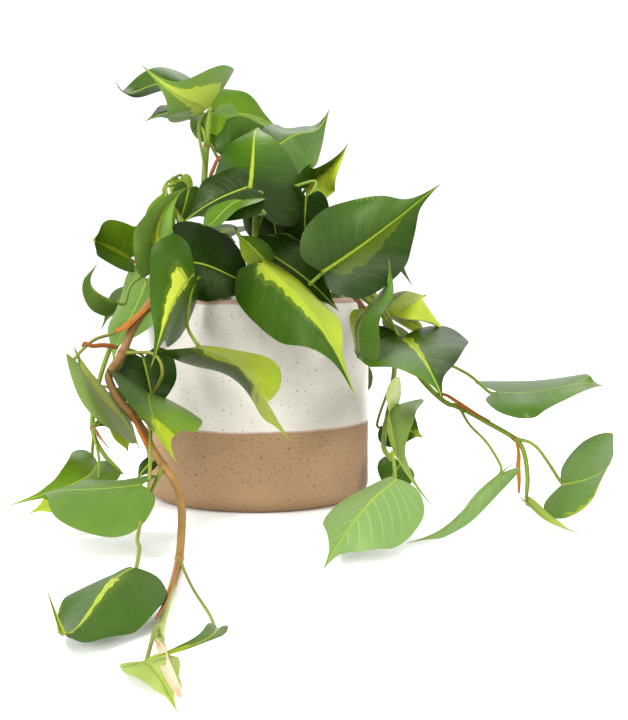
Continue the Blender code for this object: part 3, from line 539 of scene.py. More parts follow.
# Dry sheaths that clasp the nodes: width in mm, how far they wrap (degrees), hue from orange (0) through
# red-brown (0.5) to pinkish cream (1), and the points that they follow
sheaths = {
    "stem_upright": (
        sheath(4.0, 150, 0.35, (-31, -16, 213), (-28, -18, 219), (-25, -18, 225), (-22, -20, 228)),
    ),
    "stem_front_right": (
        sheath(3.0, 120, 0.6, (58, -78, 139), (64, -84, 133), (68, -86, 127)),
    ),
    "stem_left_crown": (
        sheath(4.0, 170, 0.1, (-76, -30, 160), (-82, -30, 158), (-86, -32, 155)),
    ),
    "vine_left_front": (
        sheath(11.0, 200, 0.22, (-62, -76, 134), (-70, -84, 127), (-80, -92, 119), (-86, -94, 117)),
        sheath(5.0, 150, 0.42, (-84, -100, 108), (-92, -103, 110), (-99, -104, 110), (-103, -104, 112),
               (-105, -103, 109)),
        sheath(4.2, 150, 0.3, (-74, -117, 70), (-70, -122, 62), (-66, -126, 55), (-63, -128, 46)),
        sheath(3.4, 160, 0.2, (-70, -112, 70), (-63, -112, 72), (-58, -114, 70), (-57, -116, 64)),
        sheath(5.0, 150, 0.36, (-41.6, -235.6, 7.0), (-42.3, -284.0, 8.8), (-42.6, -322.0, 9.5),
               (-45.0, -341.6, 7.0)),
        sheath(7.0, 150, 1.2, (-43.0, -372.2, 5.5), (-36.9, -419.1, 11.5), (-32.2, -440.1, 11.0),
               (-28.4, -443.8, 5.0)),
    ),
    "vine_left_second": (
        sheath(4.0, 130, 0.7, (-101, -82, 58), (-97, -88, 54), (-93, -92, 50), (-90, -94, 46)),
    ),
    "vine_right": (
        sheath(3.6, 150, 0.22, (114, -64, 75), (119, -68, 75), (126, -71, 71), (136, -76, 65),
               (146, -80, 60)),
        sheath(3.4, 140, 0.1, (158.5, -91.5, 51.5), (160.3, -96.0, 42.4), (159.4, -101.0, 34.5),
               (159.4, -105.0, 26.5), (158.9, -108.0, 19.0)),
    ),
    "vine_right_low": (
        sheath(3.0, 120, 0.6, (88, -40, 56), (93, -42, 58), (100, -44, 60)),
    ),
}

sheathForm = {
    "step": 1.2, "columns": 9, "wall": 0.18,    # mm between rings, columns across it, and mm thick
    "turn": 1.2,                                # radians that it turns from end to end
    "taper": (0.03, 0.94),                      # the part of a half sine that gives its width
    "ripple": (0.08, 9),                        # its width's waves: how high, and radians from end to end
}


def addSheath(mesher, curl, seed):
    # a thin curled ribbon: an arc of a circle whose radius gives the width, tapered to nothing at both ends,
    # carried along the path while it slowly turns
    form = sheathForm
    path = smoothPath(curl["points"], form["step"])
    t = np.linspace(0, 1, len(path))[:, None]
    steps = np.linspace(-0.5, 0.5, form["columns"])
    wrap = math.radians(curl["wrap"])
    arc = wrap * steps[None] + form["turn"] * t + seed
    low, span = form["taper"]
    radius = curl["width"] / wrap * np.sqrt(np.clip(np.sin(np.pi * (low + span * t)), 0, 1))
    radius = radius * (1 + form["ripple"][0] * np.sin(form["ripple"][1] * t + seed))
    outer = np.stack([np.cos(arc), np.sin(arc)], -1)
    inner = (outer * radius[..., None])[:, ::-1]
    ring = np.concatenate([outer * (radius + form["wall"])[..., None], inner], 1)
    around = np.broadcast_to(np.r_[steps, steps[::-1]], ring.shape[:2])
    place = np.stack([around, np.broadcast_to(t * len(path), around.shape), np.zeros_like(around)], -1)
    rings = sweep(path, ring)
    look = (curl["hue"], 0, seed * seedSteps["sheath"] % 1, 0)
    ends = (rings[0].mean(0), rings[-1].mean(0))
    mesher.add(rings, ends, slotOf["sheath"], place=place, look=look)


class Wire:
    # wraps a socket, so that sums on values are written as sums; every other node comes from node()
    def __init__(self, tree, socket=None):
        self.tree = tree
        self.socket = socket

    def node(self, kind, settings=None, inputs=None, output=0):
        node = self.tree.nodes.new(kind)
        for key, value in (settings or {}).items():
            if key == "stops":
                while len(node.color_ramp.elements) < len(value):
                    node.color_ramp.elements.new(1.0)
                for element, (position, colour) in zip(node.color_ramp.elements, value):
                    element.position = position
                    element.color = (*colour, 1.0)
            else:
                setattr(node, key, value)
        for key, value in (inputs or {}).items():
            if isinstance(value, Wire):
                self.tree.links.new(value.socket, node.inputs[key])
            else:
                node.inputs[key].default_value = value
        return Wire(self.tree, node.outputs[output])

    def calc(self, operation, *values):
        # one step of arithmetic on values
        return self.node("ShaderNodeMath", {"operation": operation}, dict(enumerate(values)))

    def __add__(self, other): return self.calc("ADD", self, other)
    def __radd__(self, other): return self.calc("ADD", other, self)
    def __sub__(self, other): return self.calc("SUBTRACT", self, other)
    def __rsub__(self, other): return self.calc("SUBTRACT", other, self)
    def __mul__(self, other): return self.calc("MULTIPLY", self, other)
    def __rmul__(self, other): return self.calc("MULTIPLY", other, self)
    def __truediv__(self, other): return self.calc("DIVIDE", self, other)
    def __rtruediv__(self, other): return self.calc("DIVIDE", other, self)
    def __pow__(self, other): return self.calc("POWER", self, other)
    def __abs__(self): return self.calc("ABSOLUTE", self)

    def fraction(self): return self.calc("FRACT", self)
    def least(self, other): return self.calc("MINIMUM", self, other)
    def most(self, other): return self.calc("MAXIMUM", self, other)

    def clamped(self): return self.most(0.0).least(1.0)     # kept between 0 and 1

    def rise(self, low, high):
        # 0 below low, 1 above high, and a smooth S between
        return self.node("ShaderNodeMapRange", {"interpolation_type": "SMOOTHSTEP"},
                         {"Value": self, "From Min": low, "From Max": high})

    def blend(self, factor, first, second):
        # a colour between two, by a value or a fixed share
        first, second = [(*c, 1.0) if isinstance(c, tuple) else c for c in (first, second)]
        return self.node("ShaderNodeMix", {"data_type": "RGBA"}, {0: factor, 6: first, 7: second}, 2)

    def mix(self, first, second):
        # the same, by this value
        return self.blend(self, first, second)

    def ramp(self, *colours):
        # colours at even steps from 0 to 1
        stops = tuple((k / (len(colours) - 1), colour) for k, colour in enumerate(colours))
        return self.node("ShaderNodeValToRGB", {"stops": stops}, {"Fac": self})

    def parts(self):
        # x, y and z
        split = self.node("ShaderNodeSeparateXYZ", None, {0: self}).socket.node
        return [Wire(self.tree, socket) for socket in split.outputs]

    def named(self, name):
        # the four values of an attribute; a vector has only three, and its last is of no use
        values = self.node("ShaderNodeAttribute", {"attribute_name": name}, None, "Vector")
        return [*values.parts(), Wire(self.tree, values.socket.node.outputs["Alpha"])]

    def position(self):
        # the place on the object in metres
        return self.node("ShaderNodeTexCoord", None, None, "Object")

    def vector(self, x, y, z):
        return self.node("ShaderNodeCombineXYZ", None, {0: x, 1: y, 2: z})

    def noise(self, vector, scale, detail=3.0, roughness=0.5):
        return self.node("ShaderNodeTexNoise", None,
                         {"Vector": vector, "Scale": scale, "Detail": detail, "Roughness": roughness}, "Fac")


def coat(look, colour, roughness, height):
    # what a paint returns: the shader's sockets by name, and the bump's height and depth in metres
    sockets = {"Base Color": colour, "Roughness": roughness, "Specular IOR Level": look["shine"]}
    return sockets, height, look["bump"]


def surface(name, paint):
    # a material whose shader gets what the paint returns
    material = bpy.data.materials.new(name)
    material.use_nodes = True
    tree = material.node_tree
    shader = tree.nodes["Principled BSDF"]
    sockets, height, depth = paint(Wire(tree))
    for key, value in sockets.items():
        if isinstance(value, Wire):
            tree.links.new(value.socket, shader.inputs[key])
        else:
            shader.inputs[key].default_value = value
    relief = {"Strength": 1.0, "Distance": depth, "Height": height}
    bump = Wire(tree).node("ShaderNodeBump", None, relief, "Normal")
    tree.links.new(bump.socket, shader.inputs["Normal"])
    return material


leafLook = {
    # the green goes from dark by middle to bright with the tone, which also holds painted shade and painted
    # light, and grey mixes in silver, which is partly a painted sheen
    "dark": (0.006, 0.018, 0.0012), "middle": (0.030, 0.076, 0.0025), "bright": (0.095, 0.172, 0.004),
    "silverAndSheen": (0.135, 0.218, 0.078), "silverAndSheenMost": 0.75,
    "lime": (0.185, 0.235, 0.005), "limePale": (0.360, 0.415, 0.040), "olive": (0.078, 0.120, 0.003),
    "rib": (0.190, 0.250, 0.020), "ribStrength": 0.85, "veinPale": (0.360, 0.430, 0.230),
    "underside": (0.125, 0.195, 0.045), "undersideShare": 0.38,
    "sheen": (0.86, 1.0, 0.55), "shine": (0.17, 0.12),              # on the upper side and on the underside
    "roughness": 0.34, "underRougher": 0.16, "limeRougher": 0.06, "cloudRougher": 0.12,
    "bump": 0.00035, "bumpRib": (-0.6, 1.0), "bumpVein": (-0.2, 0.5), "bumpFine": 0.25, "bumpCloud": 1.5,
}

leafPattern = {
    "seedShift": 61.0,                                                  # from leaf to leaf
    # noises: how often across and along the blade, scale, detail and roughness
    "cloud": (1.4, 5.0, 1.1, 4.0, 0.55), "streak": (0.8, 15.0, 1.0, 3.0, 0.6),
    "fine": (3.0, 90.0, 1.0, 2.0, 0.6),
    "cloudShade": 0.22, "streakShade": 0.10, "fineSilver": 0.10, "fineFrom": (0.0, 0.4),
    "veinFrom": 0.80, "veinMargin": 0.55, "veinRows": (0.02, 0.1, 0.8, 0.95), "veinShade": 0.15,
    "ribHalf": 0.28, "ribThinning": 0.8, "ribEdge": (0.6, 1.25),        # mm from the midrib's middle line
    "raggedStreak": 0.42, "raggedCloud": 0.25, "raggedStart": 0.5,      # of the edges of the lime sectors
    "bandWidth": (0.05, 0.4),                                           # narrower bands have straighter edges
    "bandSoft": 0.03, "bandStartSoft": 0.05,
    "halo": 0.13, "haloSoft": 0.05, "haloStart": 0.08, "haloStartSoft": 0.06, "haloStrength": 0.55,
    "patchSoft": 0.05, "patchStartSoft": 0.08,
    "limeCloud": 0.9, "limeFine": 0.25, "limeLess": 0.30,
}


def leafPaint(under):
    # place: x the share across (-1 to 1), y the row from the notch to the tip, z mm from the midrib
    look, pattern = leafLook, leafPattern
    face = 1 if under else 0

    def paint(w):
        share, row, spread, _ = w.named("place")
        tone, greyAndSheen, seed, ribWidth = w.named("look")
        low, high, start, strength = w.named("band")
        patchLow, patchHigh, patchStart, patchStrength = w.named("patch")
        veinStrength, paintedLightToTip, paintedLightToRight, paler = w.named("extra")

        def drift(name):
            # a noise that is stretched to the blade's own width and length
            across, along, *grain = pattern[name]
            return w.noise(w.vector(share * across, row * along, seed * pattern["seedShift"]), *grain)

        cloud, streak, fine = drift("cloud"), drift("streak"), drift("fine")
        # side veins: thin lines at even rows, fading at the margin, the notch and the tip
        wave = abs((row * bladeForm["veins"]).fraction() - 0.5) * 2.0
        vein = wave.rise(pattern["veinFrom"], 1.0) * (1.0 - abs(share).rise(pattern["veinMargin"], 1.0))
        vein = vein * row.rise(*pattern["veinRows"][:2]) * (1.0 - row.rise(*pattern["veinRows"][2:]))
        ribHalf = pattern["ribHalf"] + ribWidth * (1.0 - row * pattern["ribThinning"])
        rib = 1.0 - (abs(spread) / ribHalf).rise(*pattern["ribEdge"])
        # the lime sectors have ragged edges that follow the side veins, and a halo of olive round them
        ragged = (streak - 0.5) * pattern["raggedStreak"] + (cloud - 0.5) * pattern["raggedCloud"]
        raggedStart = ragged * pattern["raggedStart"]
        wide = (high - low).rise(*pattern["bandWidth"])
        lowEdge, highEdge, past = low + ragged * wide, high - ragged * wide, row - start

        def sector(left, right, past, soft, startSoft):
            # 1 between two shares and past a row, with soft edges
            across = (share - left).rise(0.0, soft) * (right - share).rise(0.0, soft)
            return across * past.rise(0.0, startSoft)

        halo = pattern["halo"]
        lime = strength * sector(lowEdge, highEdge, past + raggedStart,
                                 pattern["bandSoft"], pattern["bandStartSoft"])
        half = sector(lowEdge - halo, highEdge + halo, past + pattern["haloStart"] + raggedStart,
                      pattern["haloSoft"], pattern["haloStartSoft"]) * strength * wide
        past = row - patchStart + raggedStart
        spotLime = patchStrength * sector(patchLow + ragged, patchHigh - ragged, past,
                                          pattern["patchSoft"], pattern["patchStartSoft"])
        # painted light and shade: the tone, made lighter or darker from the notch to the tip and from one
        # half to the other
        shade = tone + (row - 0.5) * paintedLightToTip + share * paintedLightToRight * 0.5
        shade = shade + (cloud - 0.5) * pattern["cloudShade"] + (streak - 0.5) * pattern["streakShade"]
        shade = shade.clamped()
        colour = shade.ramp(look["dark"], look["middle"], look["bright"])
        # silver, partly the leaf's own colour and partly a painted sheen of the glossy surface
        colour = (greyAndSheen * look["silverAndSheenMost"]).mix(colour, look["silverAndSheen"])
        colour = (half * pattern["haloStrength"]).mix(colour, look["olive"])
        limeTone = cloud * pattern["limeCloud"] + fine * pattern["limeFine"] - pattern["limeLess"] + paler
        limeTone = limeTone.clamped().mix(look["lime"], look["limePale"])
        colour = lime.mix(colour, limeTone)
        colour = spotLime.mix(colour, limeTone)
        veinTone = greyAndSheen.mix(look["limePale"], look["veinPale"])
        colour = (vein * veinStrength * (shade + pattern["veinShade"])).mix(colour, veinTone)
        colour = ((fine - 0.5).rise(*pattern["fineFrom"]) * pattern["fineSilver"]).mix(colour, look["silverAndSheen"])
        colour = (rib * look["ribStrength"]).mix(colour, look["rib"])
        if under:
            colour = w.blend(look["undersideShare"], colour, look["underside"])
        roughness = (look["roughness"] + look["underRougher"] * face + (cloud - 0.5) * look["cloudRougher"]
                     + lime * look["limeRougher"])
        height = (rib * look["bumpRib"][face] + vein * look["bumpVein"][face]
                  + (fine - 0.5) * look["bumpFine"] + (cloud - 0.5) * look["bumpCloud"])
        sockets = {"Base Color": colour, "Roughness": roughness, "Specular IOR Level": look["shine"][face],
                   "Specular Tint": (*look["sheen"], 1.0)}
        return sockets, height, look["bump"]
    return paint


shootLook = {
    "green": (0.150, 0.225, 0.010), "greenShade": (0.065, 0.115, 0.006),
    "tan": (0.290, 0.155, 0.055), "tanShade": (0.150, 0.062, 0.018),
    "node": (0.150, 0.048, 0.012), "nodeStrength": 0.8, "pale": (0.250, 0.320, 0.070),
    "petioleTan": 0.25, "petioleGreen": 0.85,       # how tan petioles are next to their stem, and how green
    # noises: scale and detail; and how often round the shoot and per mm along it, scale and detail
    "patches": (90.0, 4.0), "streaks": (9.0, 0.06, 2.0, 3.0), "seedShift": 40.0, "tanPatches": 0.4,
    "mottle": (0.6, 0.6, -0.1), "reliefs": (0.8, 0.5, 0.6),     # of streaks, patches and node rings
    "roughness": 0.42, "tanRougher": 0.12, "patchRougher": 0.1, "shine": 0.22, "bump": 0.0003,
}


def shootPaint(w):
    # place: x round the shoot, y the distance along it in mm; look: x how tan, y the node rings, z the seed,
    # and alpha how green it is rather than pale
    look = shootLook
    around, along, _, _ = w.named("place")
    tan, ring, seed, greenness = w.named("look")
    patches = w.noise(w.position(), *look["patches"])
    across, lengthways, *grain = look["streaks"]
    mirrored = abs(around * 2.0 - 1.0)
    streaks = w.noise(w.vector(mirrored * across, along * lengthways, seed * look["seedShift"]), *grain)
    ofPatches, ofStreaks, more = look["mottle"]
    mottle = (patches * ofPatches + streaks * ofStreaks + more).clamped()
    green = mottle.mix(look["greenShade"], look["green"])
    green = (1.0 - greenness).mix(green, look["pale"])
    bark = mottle.mix(look["tanShade"], look["tan"])
    colour = (tan + (patches - 0.5) * look["tanPatches"] * tan).clamped().mix(green, bark)
    colour = (ring * ring * look["nodeStrength"]).mix(colour, look["node"])
    streakRelief, patchRelief, ringRelief = look["reliefs"]
    height = (streaks - 0.5) * streakRelief + (patches - 0.5) * patchRelief + ring * ringRelief
    roughness = look["roughness"] + tan * look["tanRougher"] + (patches - 0.5) * look["patchRougher"]
    return coat(look, colour, roughness, height)


sheathLook = {
    "orange": (0.400, 0.150, 0.014), "brown": (0.200, 0.050, 0.009), "cream": (0.600, 0.400, 0.270),
    # noises: how often across and per mm along, scale and detail
    "streaks": (14.0, 0.12, 1.6, 4.0), "blotches": (2.0, 0.4, 1.0, 3.0), "seedShift": 50.0,
    "blotchHue": 0.35, "streakFrom": (0.45, 0.75), "streakBrown": 0.35,
    "roughness": 0.55, "streakRougher": 0.2, "shine": 0.2, "bump": 0.0006,
}


def sheathPaint(w):
    # streaks run along the sheath, and its hue comes from look x
    look = sheathLook
    around, along, _, _ = w.named("place")
    hue, _, seed, _ = w.named("look")

    def drift(name):
        across, lengthways, *grain = look[name]
        return w.noise(w.vector(around * across, along * lengthways, seed * look["seedShift"]), *grain)

    streaks, blotch = drift("streaks"), drift("blotches")
    hues = (look["orange"], look["brown"], look["cream"])
    colour = (hue + (blotch - 0.5) * look["blotchHue"]).clamped().ramp(*hues)
    brown = streaks.rise(*look["streakFrom"]) * look["streakBrown"] * (1.0 - hue).most(0.0)
    colour = brown.mix(colour, look["brown"])
    roughness = look["roughness"] + (streaks - 0.5) * look["streakRougher"]
    return coat(look, colour, roughness, streaks)


potForm = {
    "radius": 75.0, "height": 135.5, "wall": 5.0, "floor": 8.0, "steps": 160,
    "rim": 1.8, "corner": 6.0, "heel": 11.0, "heelTurn": -80,   # mm of the roundings, and degrees of the heel
    "footRadius": 66.0, "footEdge": ((0.6, 0.25), (1.6, 0.0)),  # mm in from the foot's radius, and up
    "pole": 1.0,                                                # mm from the axis to the first and last ring
    # mm that the wall wobbles in, mm of height for a radian of wave, and where it rises and fades
    "wobble": 0.10, "wobbleOver": (7.3, 3.1), "secondWobble": 0.6, "wobbleFrom": (2, 14), "wobbleUnderRim": 8,
}


def arcPoints(centre, radius, start, end, steps):
    # points on a round stretch of the profile, from one angle to another in degrees
    angle = np.radians(np.linspace(start, end, steps))
    return np.stack([centre[0] + radius * np.cos(angle), centre[1] + radius * np.sin(angle)], -1)


def straight(start, end, steps):
    # points between two ends at even steps, without the ends
    return np.linspace(start, end, steps)[1:-1]


def makePot():
    # a profile from the middle of the inside floor, up the inside, over the rim and down to the foot, turned
    # round Z, with a throwing wobble of the radius along the height
    form = potForm
    radius, height, rim, floor = form["radius"], form["height"], form["rim"], form["floor"]
    inside, top, corner, heel = radius - form["wall"], height - rim, form["corner"], form["heel"]
    profile = np.concatenate([
        [(form["pole"], floor), (inside - corner, floor)],
        arcPoints((inside - corner, floor + corner), corner, -90, 0, 7),
        straight((inside, floor + corner), (inside, top), 20),
        arcPoints((inside + rim, top), rim, 180, 90, 7),
        arcPoints((radius - rim, top), rim, 90, 0, 7)[1:],
        straight((radius, top), (radius, heel), 44),
        arcPoints((radius - heel, heel), heel, 0, form["heelTurn"], 12),
        [(form["footRadius"] - inward, up) for inward, up in form["footEdge"]], [(form["pole"], 0.0)]])
    angle = np.linspace(0, 2 * np.pi, form["steps"], endpoint=False)
    out, up = profile.T
    first, second = form["wobbleOver"]
    wobble = form["wobble"] * (np.sin(up / first) + form["secondWobble"] * np.sin(up / second + 1))
    wobble = wobble * (out > inside - 1) * ease(up, *form["wobbleFrom"])
    wobble = wobble * (1 - ease(up, height - form["wobbleUnderRim"], height))
    out = (out - np.abs(wobble))[:, None]
    rings = np.stack(np.broadcast_arrays(out * np.cos(angle), out * np.sin(angle), up[:, None]), -1)
    mesher = Mesher()
    mesher.add(rings, ((0, 0, floor), (0, 0, 0)))
    pot = mesher.piece("planter", [surface("planterStoneware", potPaint)])
    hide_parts("pot")
    return pot


potLook = {
    "glaze": (0.500, 0.475, 0.420), "glazeShade": (0.430, 0.405, 0.355),
    "clay": (0.260, 0.159, 0.078), "clayShade": (0.192, 0.111, 0.050),
    "edge": (0.230, 0.110, 0.060), "speck": (0.035, 0.019, 0.011),
    # metres: where the glaze ends, how far that line wavers and ripples, and the brown line along it
    "glazeLine": 0.0514, "lineWaver": 0.0022, "lineRipple": 0.0008, "lineSoft": (-0.0003, 0.0004),
    "edgeLift": 0.0003, "edgeWidth": (0.0003, 0.0016), "edgeStrength": 0.75,
    # metres: the height from which the rim is bare, and the radius from which it is
    "rimLine": 0.1318, "rimWaver": 0.0015, "rimSoft": 0.0009, "rimFrom": (0.0712, 0.0716),
    "rimStrength": 0.75,
    # noises: scale, detail and roughness
    "cloud": (26.0, 4.0), "grain": (700.0, 3.0, 0.6), "mottle": (420.0, 3.0, 0.6),
    "waver": (30.0, 2.0), "ripple": (260.0, 2.0),
    "glazeMottle": (0.6, 0.6, -0.1), "clayMottle": (0.6, 0.5),  # shares of cloud and of fine noise, and shift
    "turnRadius": 0.075,                                        # metres, for the unrolled wall
    # cells a metre, a dot's size in cells, share of cells with one, shift, colour and strength on glaze and
    # colour and strength on clay
    "specks": (
        (620.0, 0.26, 0.5, 0.3, "edge", 0.16, "edge", 0.22),
        (330.0, 0.15, 0.62, 4.1, "edge", 0.34, "speck", 0.62),
        (165.0, 0.085, 0.42, 1.7, "speck", 0.5, "speck", 0.8)),
    "dotLeast": 0.4, "dotSoft": (0.6, 1.1), "chanceSoft": 0.01,
    # shares of the bump's depth: the glaze's step, grain on glaze, more of it on clay, clouds and sunk dots
    "glazeStep": 0.9, "grainRelief": 0.08, "clayRelief": 0.35, "cloudRelief": 0.6, "dotRelief": 0.25,
    "roughness": 0.38, "bareRougher": 0.34, "grainRougher": 0.08, "shine": 0.4, "bump": 0.00025,
}


def potPaint(w):
    # everything is worked out from the place on the pot in metres; the glaze ends at a slightly wavering line
    look = potLook
    position = w.position()
    x, y, z = position.parts()
    cloud = w.noise(position, *look["cloud"])
    grain = w.noise(position, *look["grain"])
    waver = w.noise(w.vector(x, y, 0.0), *look["waver"]) - 0.5
    ripple = w.noise(w.vector(x, y, 0.0), *look["ripple"]) - 0.5
    line = look["glazeLine"] + waver * look["lineWaver"] + ripple * look["lineRipple"]
    glazed = (z - line).rise(*look["lineSoft"])
    edge = (1.0 - abs(z - line - look["edgeLift"]).rise(*look["edgeWidth"])) * look["edgeStrength"]
    bareRim = (z - look["rimLine"] + waver * look["rimWaver"]).rise(0.0, look["rimSoft"])
    bareRim = bareRim * ((x * x + y * y) ** 0.5).rise(*look["rimFrom"])
    flat = w.vector(w.calc("ARCTAN2", x, 0.0 - y) * look["turnRadius"], z, 0.0)

    def specks(scale, size, chance, shift):
        # dots in the cells of a Voronoi pattern on the unrolled wall; only some have one, of its own size
        moved = w.node("ShaderNodeMapping", None, {"Vector": flat, "Location": (shift, shift * 2, 0.0)})
        cell = w.node("ShaderNodeTexVoronoi", {"voronoi_dimensions": "2D"}, {"Vector": moved, "Scale": scale})
        has, large, _ = Wire(w.tree, cell.socket.node.outputs["Color"]).parts()
        dot = 1.0 - (cell / (size * (look["dotLeast"] + large))).rise(*look["dotSoft"])
        return has.rise(1 - chance, 1 - chance + look["chanceSoft"]) * dot

    ofCloud, ofMottle, more = look["glazeMottle"]
    glaze = (cloud * ofCloud + w.noise(flat, *look["mottle"]) * ofMottle + more).clamped()
    glaze = glaze.mix(look["glazeShade"], look["glaze"])
    ofCloud, ofGrain = look["clayMottle"]
    clay = (cloud * ofCloud + grain * ofGrain).least(1.0).mix(look["clayShade"], look["clay"])
    for scale, size, chance, shift, onGlaze, glazeStrength, onClay, clayStrength in look["specks"]:
        dots = specks(scale, size, chance, shift)
        glaze = (dots * glazeStrength).mix(glaze, look[onGlaze])
        clay = (dots * clayStrength).mix(clay, look[onClay])
    colour = glazed.mix(clay, glaze)
    colour = (bareRim * look["rimStrength"]).mix(colour, look["edge"])
    colour = edge.mix(colour, look["edge"])
    bare = 1.0 - glazed * (1.0 - bareRim)
    roughness = look["roughness"] + bare * look["bareRougher"] + (grain - 0.5) * look["grainRougher"]
    height = (glazed * look["glazeStep"] + (grain - 0.5) * (look["grainRelief"] + bare * look["clayRelief"])
              + (cloud - 0.5) * look["cloudRelief"] - dots * look["dotRelief"])
    return coat(look, colour, roughness, height)


soilForm = {
    "radius": 69.6, "level": 114.0, "crown": 1.5, "bottom": 8.4, "rings": 60, "steps": 150, "seed": 3,
    "rimFade": 5, "sideFoot": 16.0, "footInset": 7,             # mm
    # the ripples' lengths in mm, how many of each, and how their height and phase follow
    "ripples": (22.0, 11.0, 6.0, 3.4, 2.0, 1.3), "rippleTurns": 3, "ripplePower": 0.8, "ripplePhase": 9,
    "lumps": 420, "lumpSize": (0.7, 2.3), "lumpSides": 6, "lumpInset": 4, "lumpLift": (0.8, 1.0),
    "lumpRough": (0.75, 1.25), "lumpWaist": 0.35, "lumpPole": 0.8, "perliteShare": 0.06,
}


def crumble(x, y):
    # a sum of turned sine ripples of rising frequency, which looks like rough ground
    form = soilForm
    draw = np.random.default_rng(form["seed"])
    height = np.zeros_like(x)
    for size in form["ripples"]:
        for turn in draw.uniform(0, np.pi, form["rippleTurns"]):
            along = (x * np.cos(turn) + y * np.sin(turn)) * 2 * np.pi / size
            height += size ** form["ripplePower"] * np.sin(along + form["ripplePhase"] * turn)
    return height / form["ripples"][0]


def makeSoil():
    # a crumbly disc with plain sides, and small lumps strewn over it
    form = soilForm
    mesher = Mesher()
    angle = np.linspace(0, 2 * np.pi, form["steps"], endpoint=False)
    radius = form["radius"] * np.linspace(1 / form["rings"], 1.0, form["rings"])[:, None]
    x, y = radius * np.cos(angle), radius * np.sin(angle)
    fade = 1 - ease(radius, form["radius"] - form["rimFade"], form["radius"])
    height = form["level"] + form["crown"] * (1 - (radius / form["radius"]) ** 2) + crumble(x, y) * fade

    def ring(radius, height):
        return np.stack(np.broadcast_arrays(radius * np.cos(angle), radius * np.sin(angle), height), -1)[None]

    rings = np.concatenate([np.stack([x, y, height], -1), ring(form["radius"], form["sideFoot"]),
                            ring(form["radius"] - form["footInset"], form["bottom"])])
    mesher.add(rings, ((0, 0, height[0].mean()), (0, 0, form["bottom"])))
    draw = np.random.default_rng(form["seed"])
    sides = form["lumpSides"]
    turn = np.linspace(0, 2 * np.pi, sides, endpoint=False)
    waist = np.broadcast_to([[-form["lumpWaist"]], [form["lumpWaist"]]], (2, sides))
    for k in range(form["lumps"]):
        away = (form["radius"] - form["lumpInset"]) * math.sqrt(draw.random())
        around = draw.uniform(0, 2 * np.pi)
        size = draw.uniform(*form["lumpSize"])
        least, spread = form["lumpLift"]
        centre = np.array((away * math.cos(around), away * math.sin(around),
                           form["level"] + least + draw.uniform(0, spread)))
        rough = draw.uniform(*form["lumpRough"], (2, sides))
        rings = np.stack([np.cos(turn) * rough, np.sin(turn) * rough, waist], -1) * size + centre
        pale = 1.0 if draw.random() < form["perliteShare"] else 0.0
        pole = np.array((0, 0, form["lumpPole"] * size))
        mesher.add(rings, (centre - pole, centre + pole), look=(pale, draw.random(), 0, 0))
    soil = mesher.piece("pottingMix", [surface("pottingMixCrumbs", soilPaint)])
    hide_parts("potting_soil")
    return soil


soilLook = {
    "dark": (0.018, 0.011, 0.007), "light": (0.085, 0.052, 0.030), "perlite": (0.62, 0.58, 0.50),
    "grit": (420.0, 5.0, 0.65), "clumps": (90.0, 3.0),      # noises: scale, detail and roughness
    "mottle": (0.7, 0.3, 0.2), "lightFrom": (0.35, 0.8),    # of grit, clumps and the crumb's own shade
    "roughness": 0.92, "shine": 0.5, "bump": 0.0012,
}


def soilPaint(w):
    # look: x 1 on a crumb of perlite, y the crumb's own shade
    look = soilLook
    pale, shade, _, _ = w.named("look")
    grit = w.noise(w.position(), *look["grit"])
    clumps = w.noise(w.position(), *look["clumps"])
    ofGrit, ofClumps, ofShade = look["mottle"]
    light = (grit * ofGrit + clumps * ofClumps + shade * ofShade).rise(*look["lightFrom"])
    colour = light.mix(look["dark"], look["light"])
    colour = pale.mix(colour, look["perlite"])
    return coat(look, colour, look["roughness"], grit)


def makeFoliage():
    # one piece for each leafy stem, with its blades, petioles and sheaths; each of those has its own seed
    materials = [surface("leafUpperSide", leafPaint(False)), surface("leafUnderside", leafPaint(True)),
                 surface("stemAndPetiole", shootPaint), surface("drySheath", sheathPaint)]
    pieces = []
    seed = 0
    for name, stem in leafyStems.items():
        mesher = Mesher()
        knots = addStem(mesher, stem)
        for blade in stem["leaves"]:
            seed += 1
            addBlade(mesher, blade, seed)
            look = (shootLook["petioleTan"] * stem["tan"][0], 0, seed * seedSteps["petiole"] % 1,
                    shootLook["petioleGreen"])
            addPetiole(mesher, knots[blade["joint"]], blade, look)
        for curl in sheaths.get(name, ()):
            seed += 1
            addSheath(mesher, curl, seed)
        piece = mesher.piece(name + "_foliage", materials)
        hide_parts(name)
        pieces.append(piece)
        print("foliage:", name, len(piece.data.polygons), "faces")
    return pieces


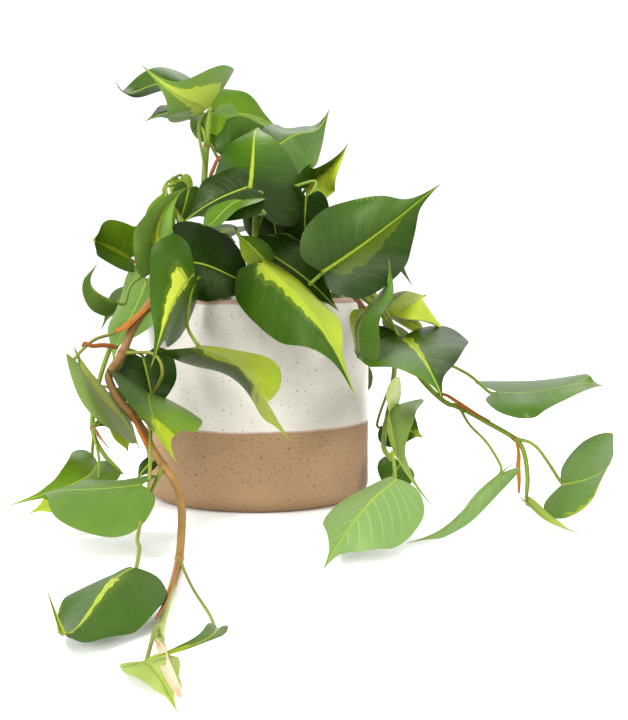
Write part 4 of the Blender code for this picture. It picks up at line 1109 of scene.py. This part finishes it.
studio = {
    "floor": (0.93, 0.93, 0.93), "roughness": 0.7, "shine": 0.5, "grain": 60.0, "bump": 0.00005,
    "floorHalf": 6,                     # metres from its middle to a side
    "world": (1.0, 1.0, 1.0), "worldStrength": 1.15,
    "lights": (
        # where it stands, what it points at, its size and its power
        ((-0.75, -1.0, 1.75), (0.0, -0.05, 0.15), 0.7, 32.0),
        ((-1.5, -0.85, 0.55), (0.0, -0.05, 0.12), 0.9, 25.0),
        ((-0.1, -1.7, 0.6), (0.0, -0.05, 0.12), 1.0, 9.0),
        ((1.5, -0.85, 0.55), (0.0, -0.05, 0.12), 0.9, 26.0),
        ((0.2, 0.9, 1.5), (0.0, 0.0, 0.18), 1.1, 10.0),
    ),
    "cameraAt": (0.0, -0.95, 0.1715), "yaw": 2.313, "pitch": 4.804, "focal": 1408.33, "longSide": 720,
    "sensor": 36.0, "clip": 0.01,
}


def floorPaint(w):
    # one pale colour with a fine even grain
    return coat(studio, (*studio["floor"], 1.0), studio["roughness"], w.noise(w.position(), studio["grain"]))


def makeStudio():
    # a pale floor under a white sky, soft round lights, and a camera that stands and looks as the photo's did
    world = bpy.data.worlds.new("studioWorld")
    bpy.context.scene.world = world
    world.use_nodes = True
    background = world.node_tree.nodes["Background"]
    background.inputs["Color"].default_value = (*studio["world"], 1.0)
    background.inputs["Strength"].default_value = studio["worldStrength"]
    mesh = bpy.data.meshes.new("floor")
    half = studio["floorHalf"]
    corners = [(-half, -half, 0), (half, -half, 0), (half, half, 0), (-half, half, 0)]
    mesh.from_pydata(corners, [], [(0, 1, 2, 3)])
    mesh.materials.append(surface("paleFloor", floorPaint))
    floor = thingOf("floor", mesh)
    for k, (place, target, size, power) in enumerate(studio["lights"]):
        light = bpy.data.lights.new("softLight%d" % k, "AREA")
        light.shape = "DISK"
        light.size = size
        light.energy = power
        lamp = thingOf("softLight%d" % k, light)
        lamp.location = place
        lamp.rotation_euler = (Vector(target) - Vector(place)).to_track_quat("-Z", "Y").to_euler()
    yaw, pitch = math.radians(studio["yaw"]), math.radians(studio["pitch"])
    ahead = Vector((math.sin(yaw) * math.cos(pitch), math.cos(yaw) * math.cos(pitch), -math.sin(pitch)))
    lens = bpy.data.cameras.new("camera")
    lens.sensor_width = studio["sensor"]
    lens.lens = studio["focal"] / studio["longSide"] * lens.sensor_width
    lens.clip_start = studio["clip"]
    camera = thingOf("camera", lens)
    camera.location = studio["cameraAt"]
    camera.rotation_euler = ahead.to_track_quat("-Z", "Y").to_euler()
    bpy.context.scene.camera = camera
    bpy.context.scene.view_settings.view_transform = "Standard"


makeStudio()
print("studio and camera are set")
for piece in [makePot(), makeSoil(), *makeFoliage()]:
    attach(piece, "root")
print("planter, soil and foliage are made")
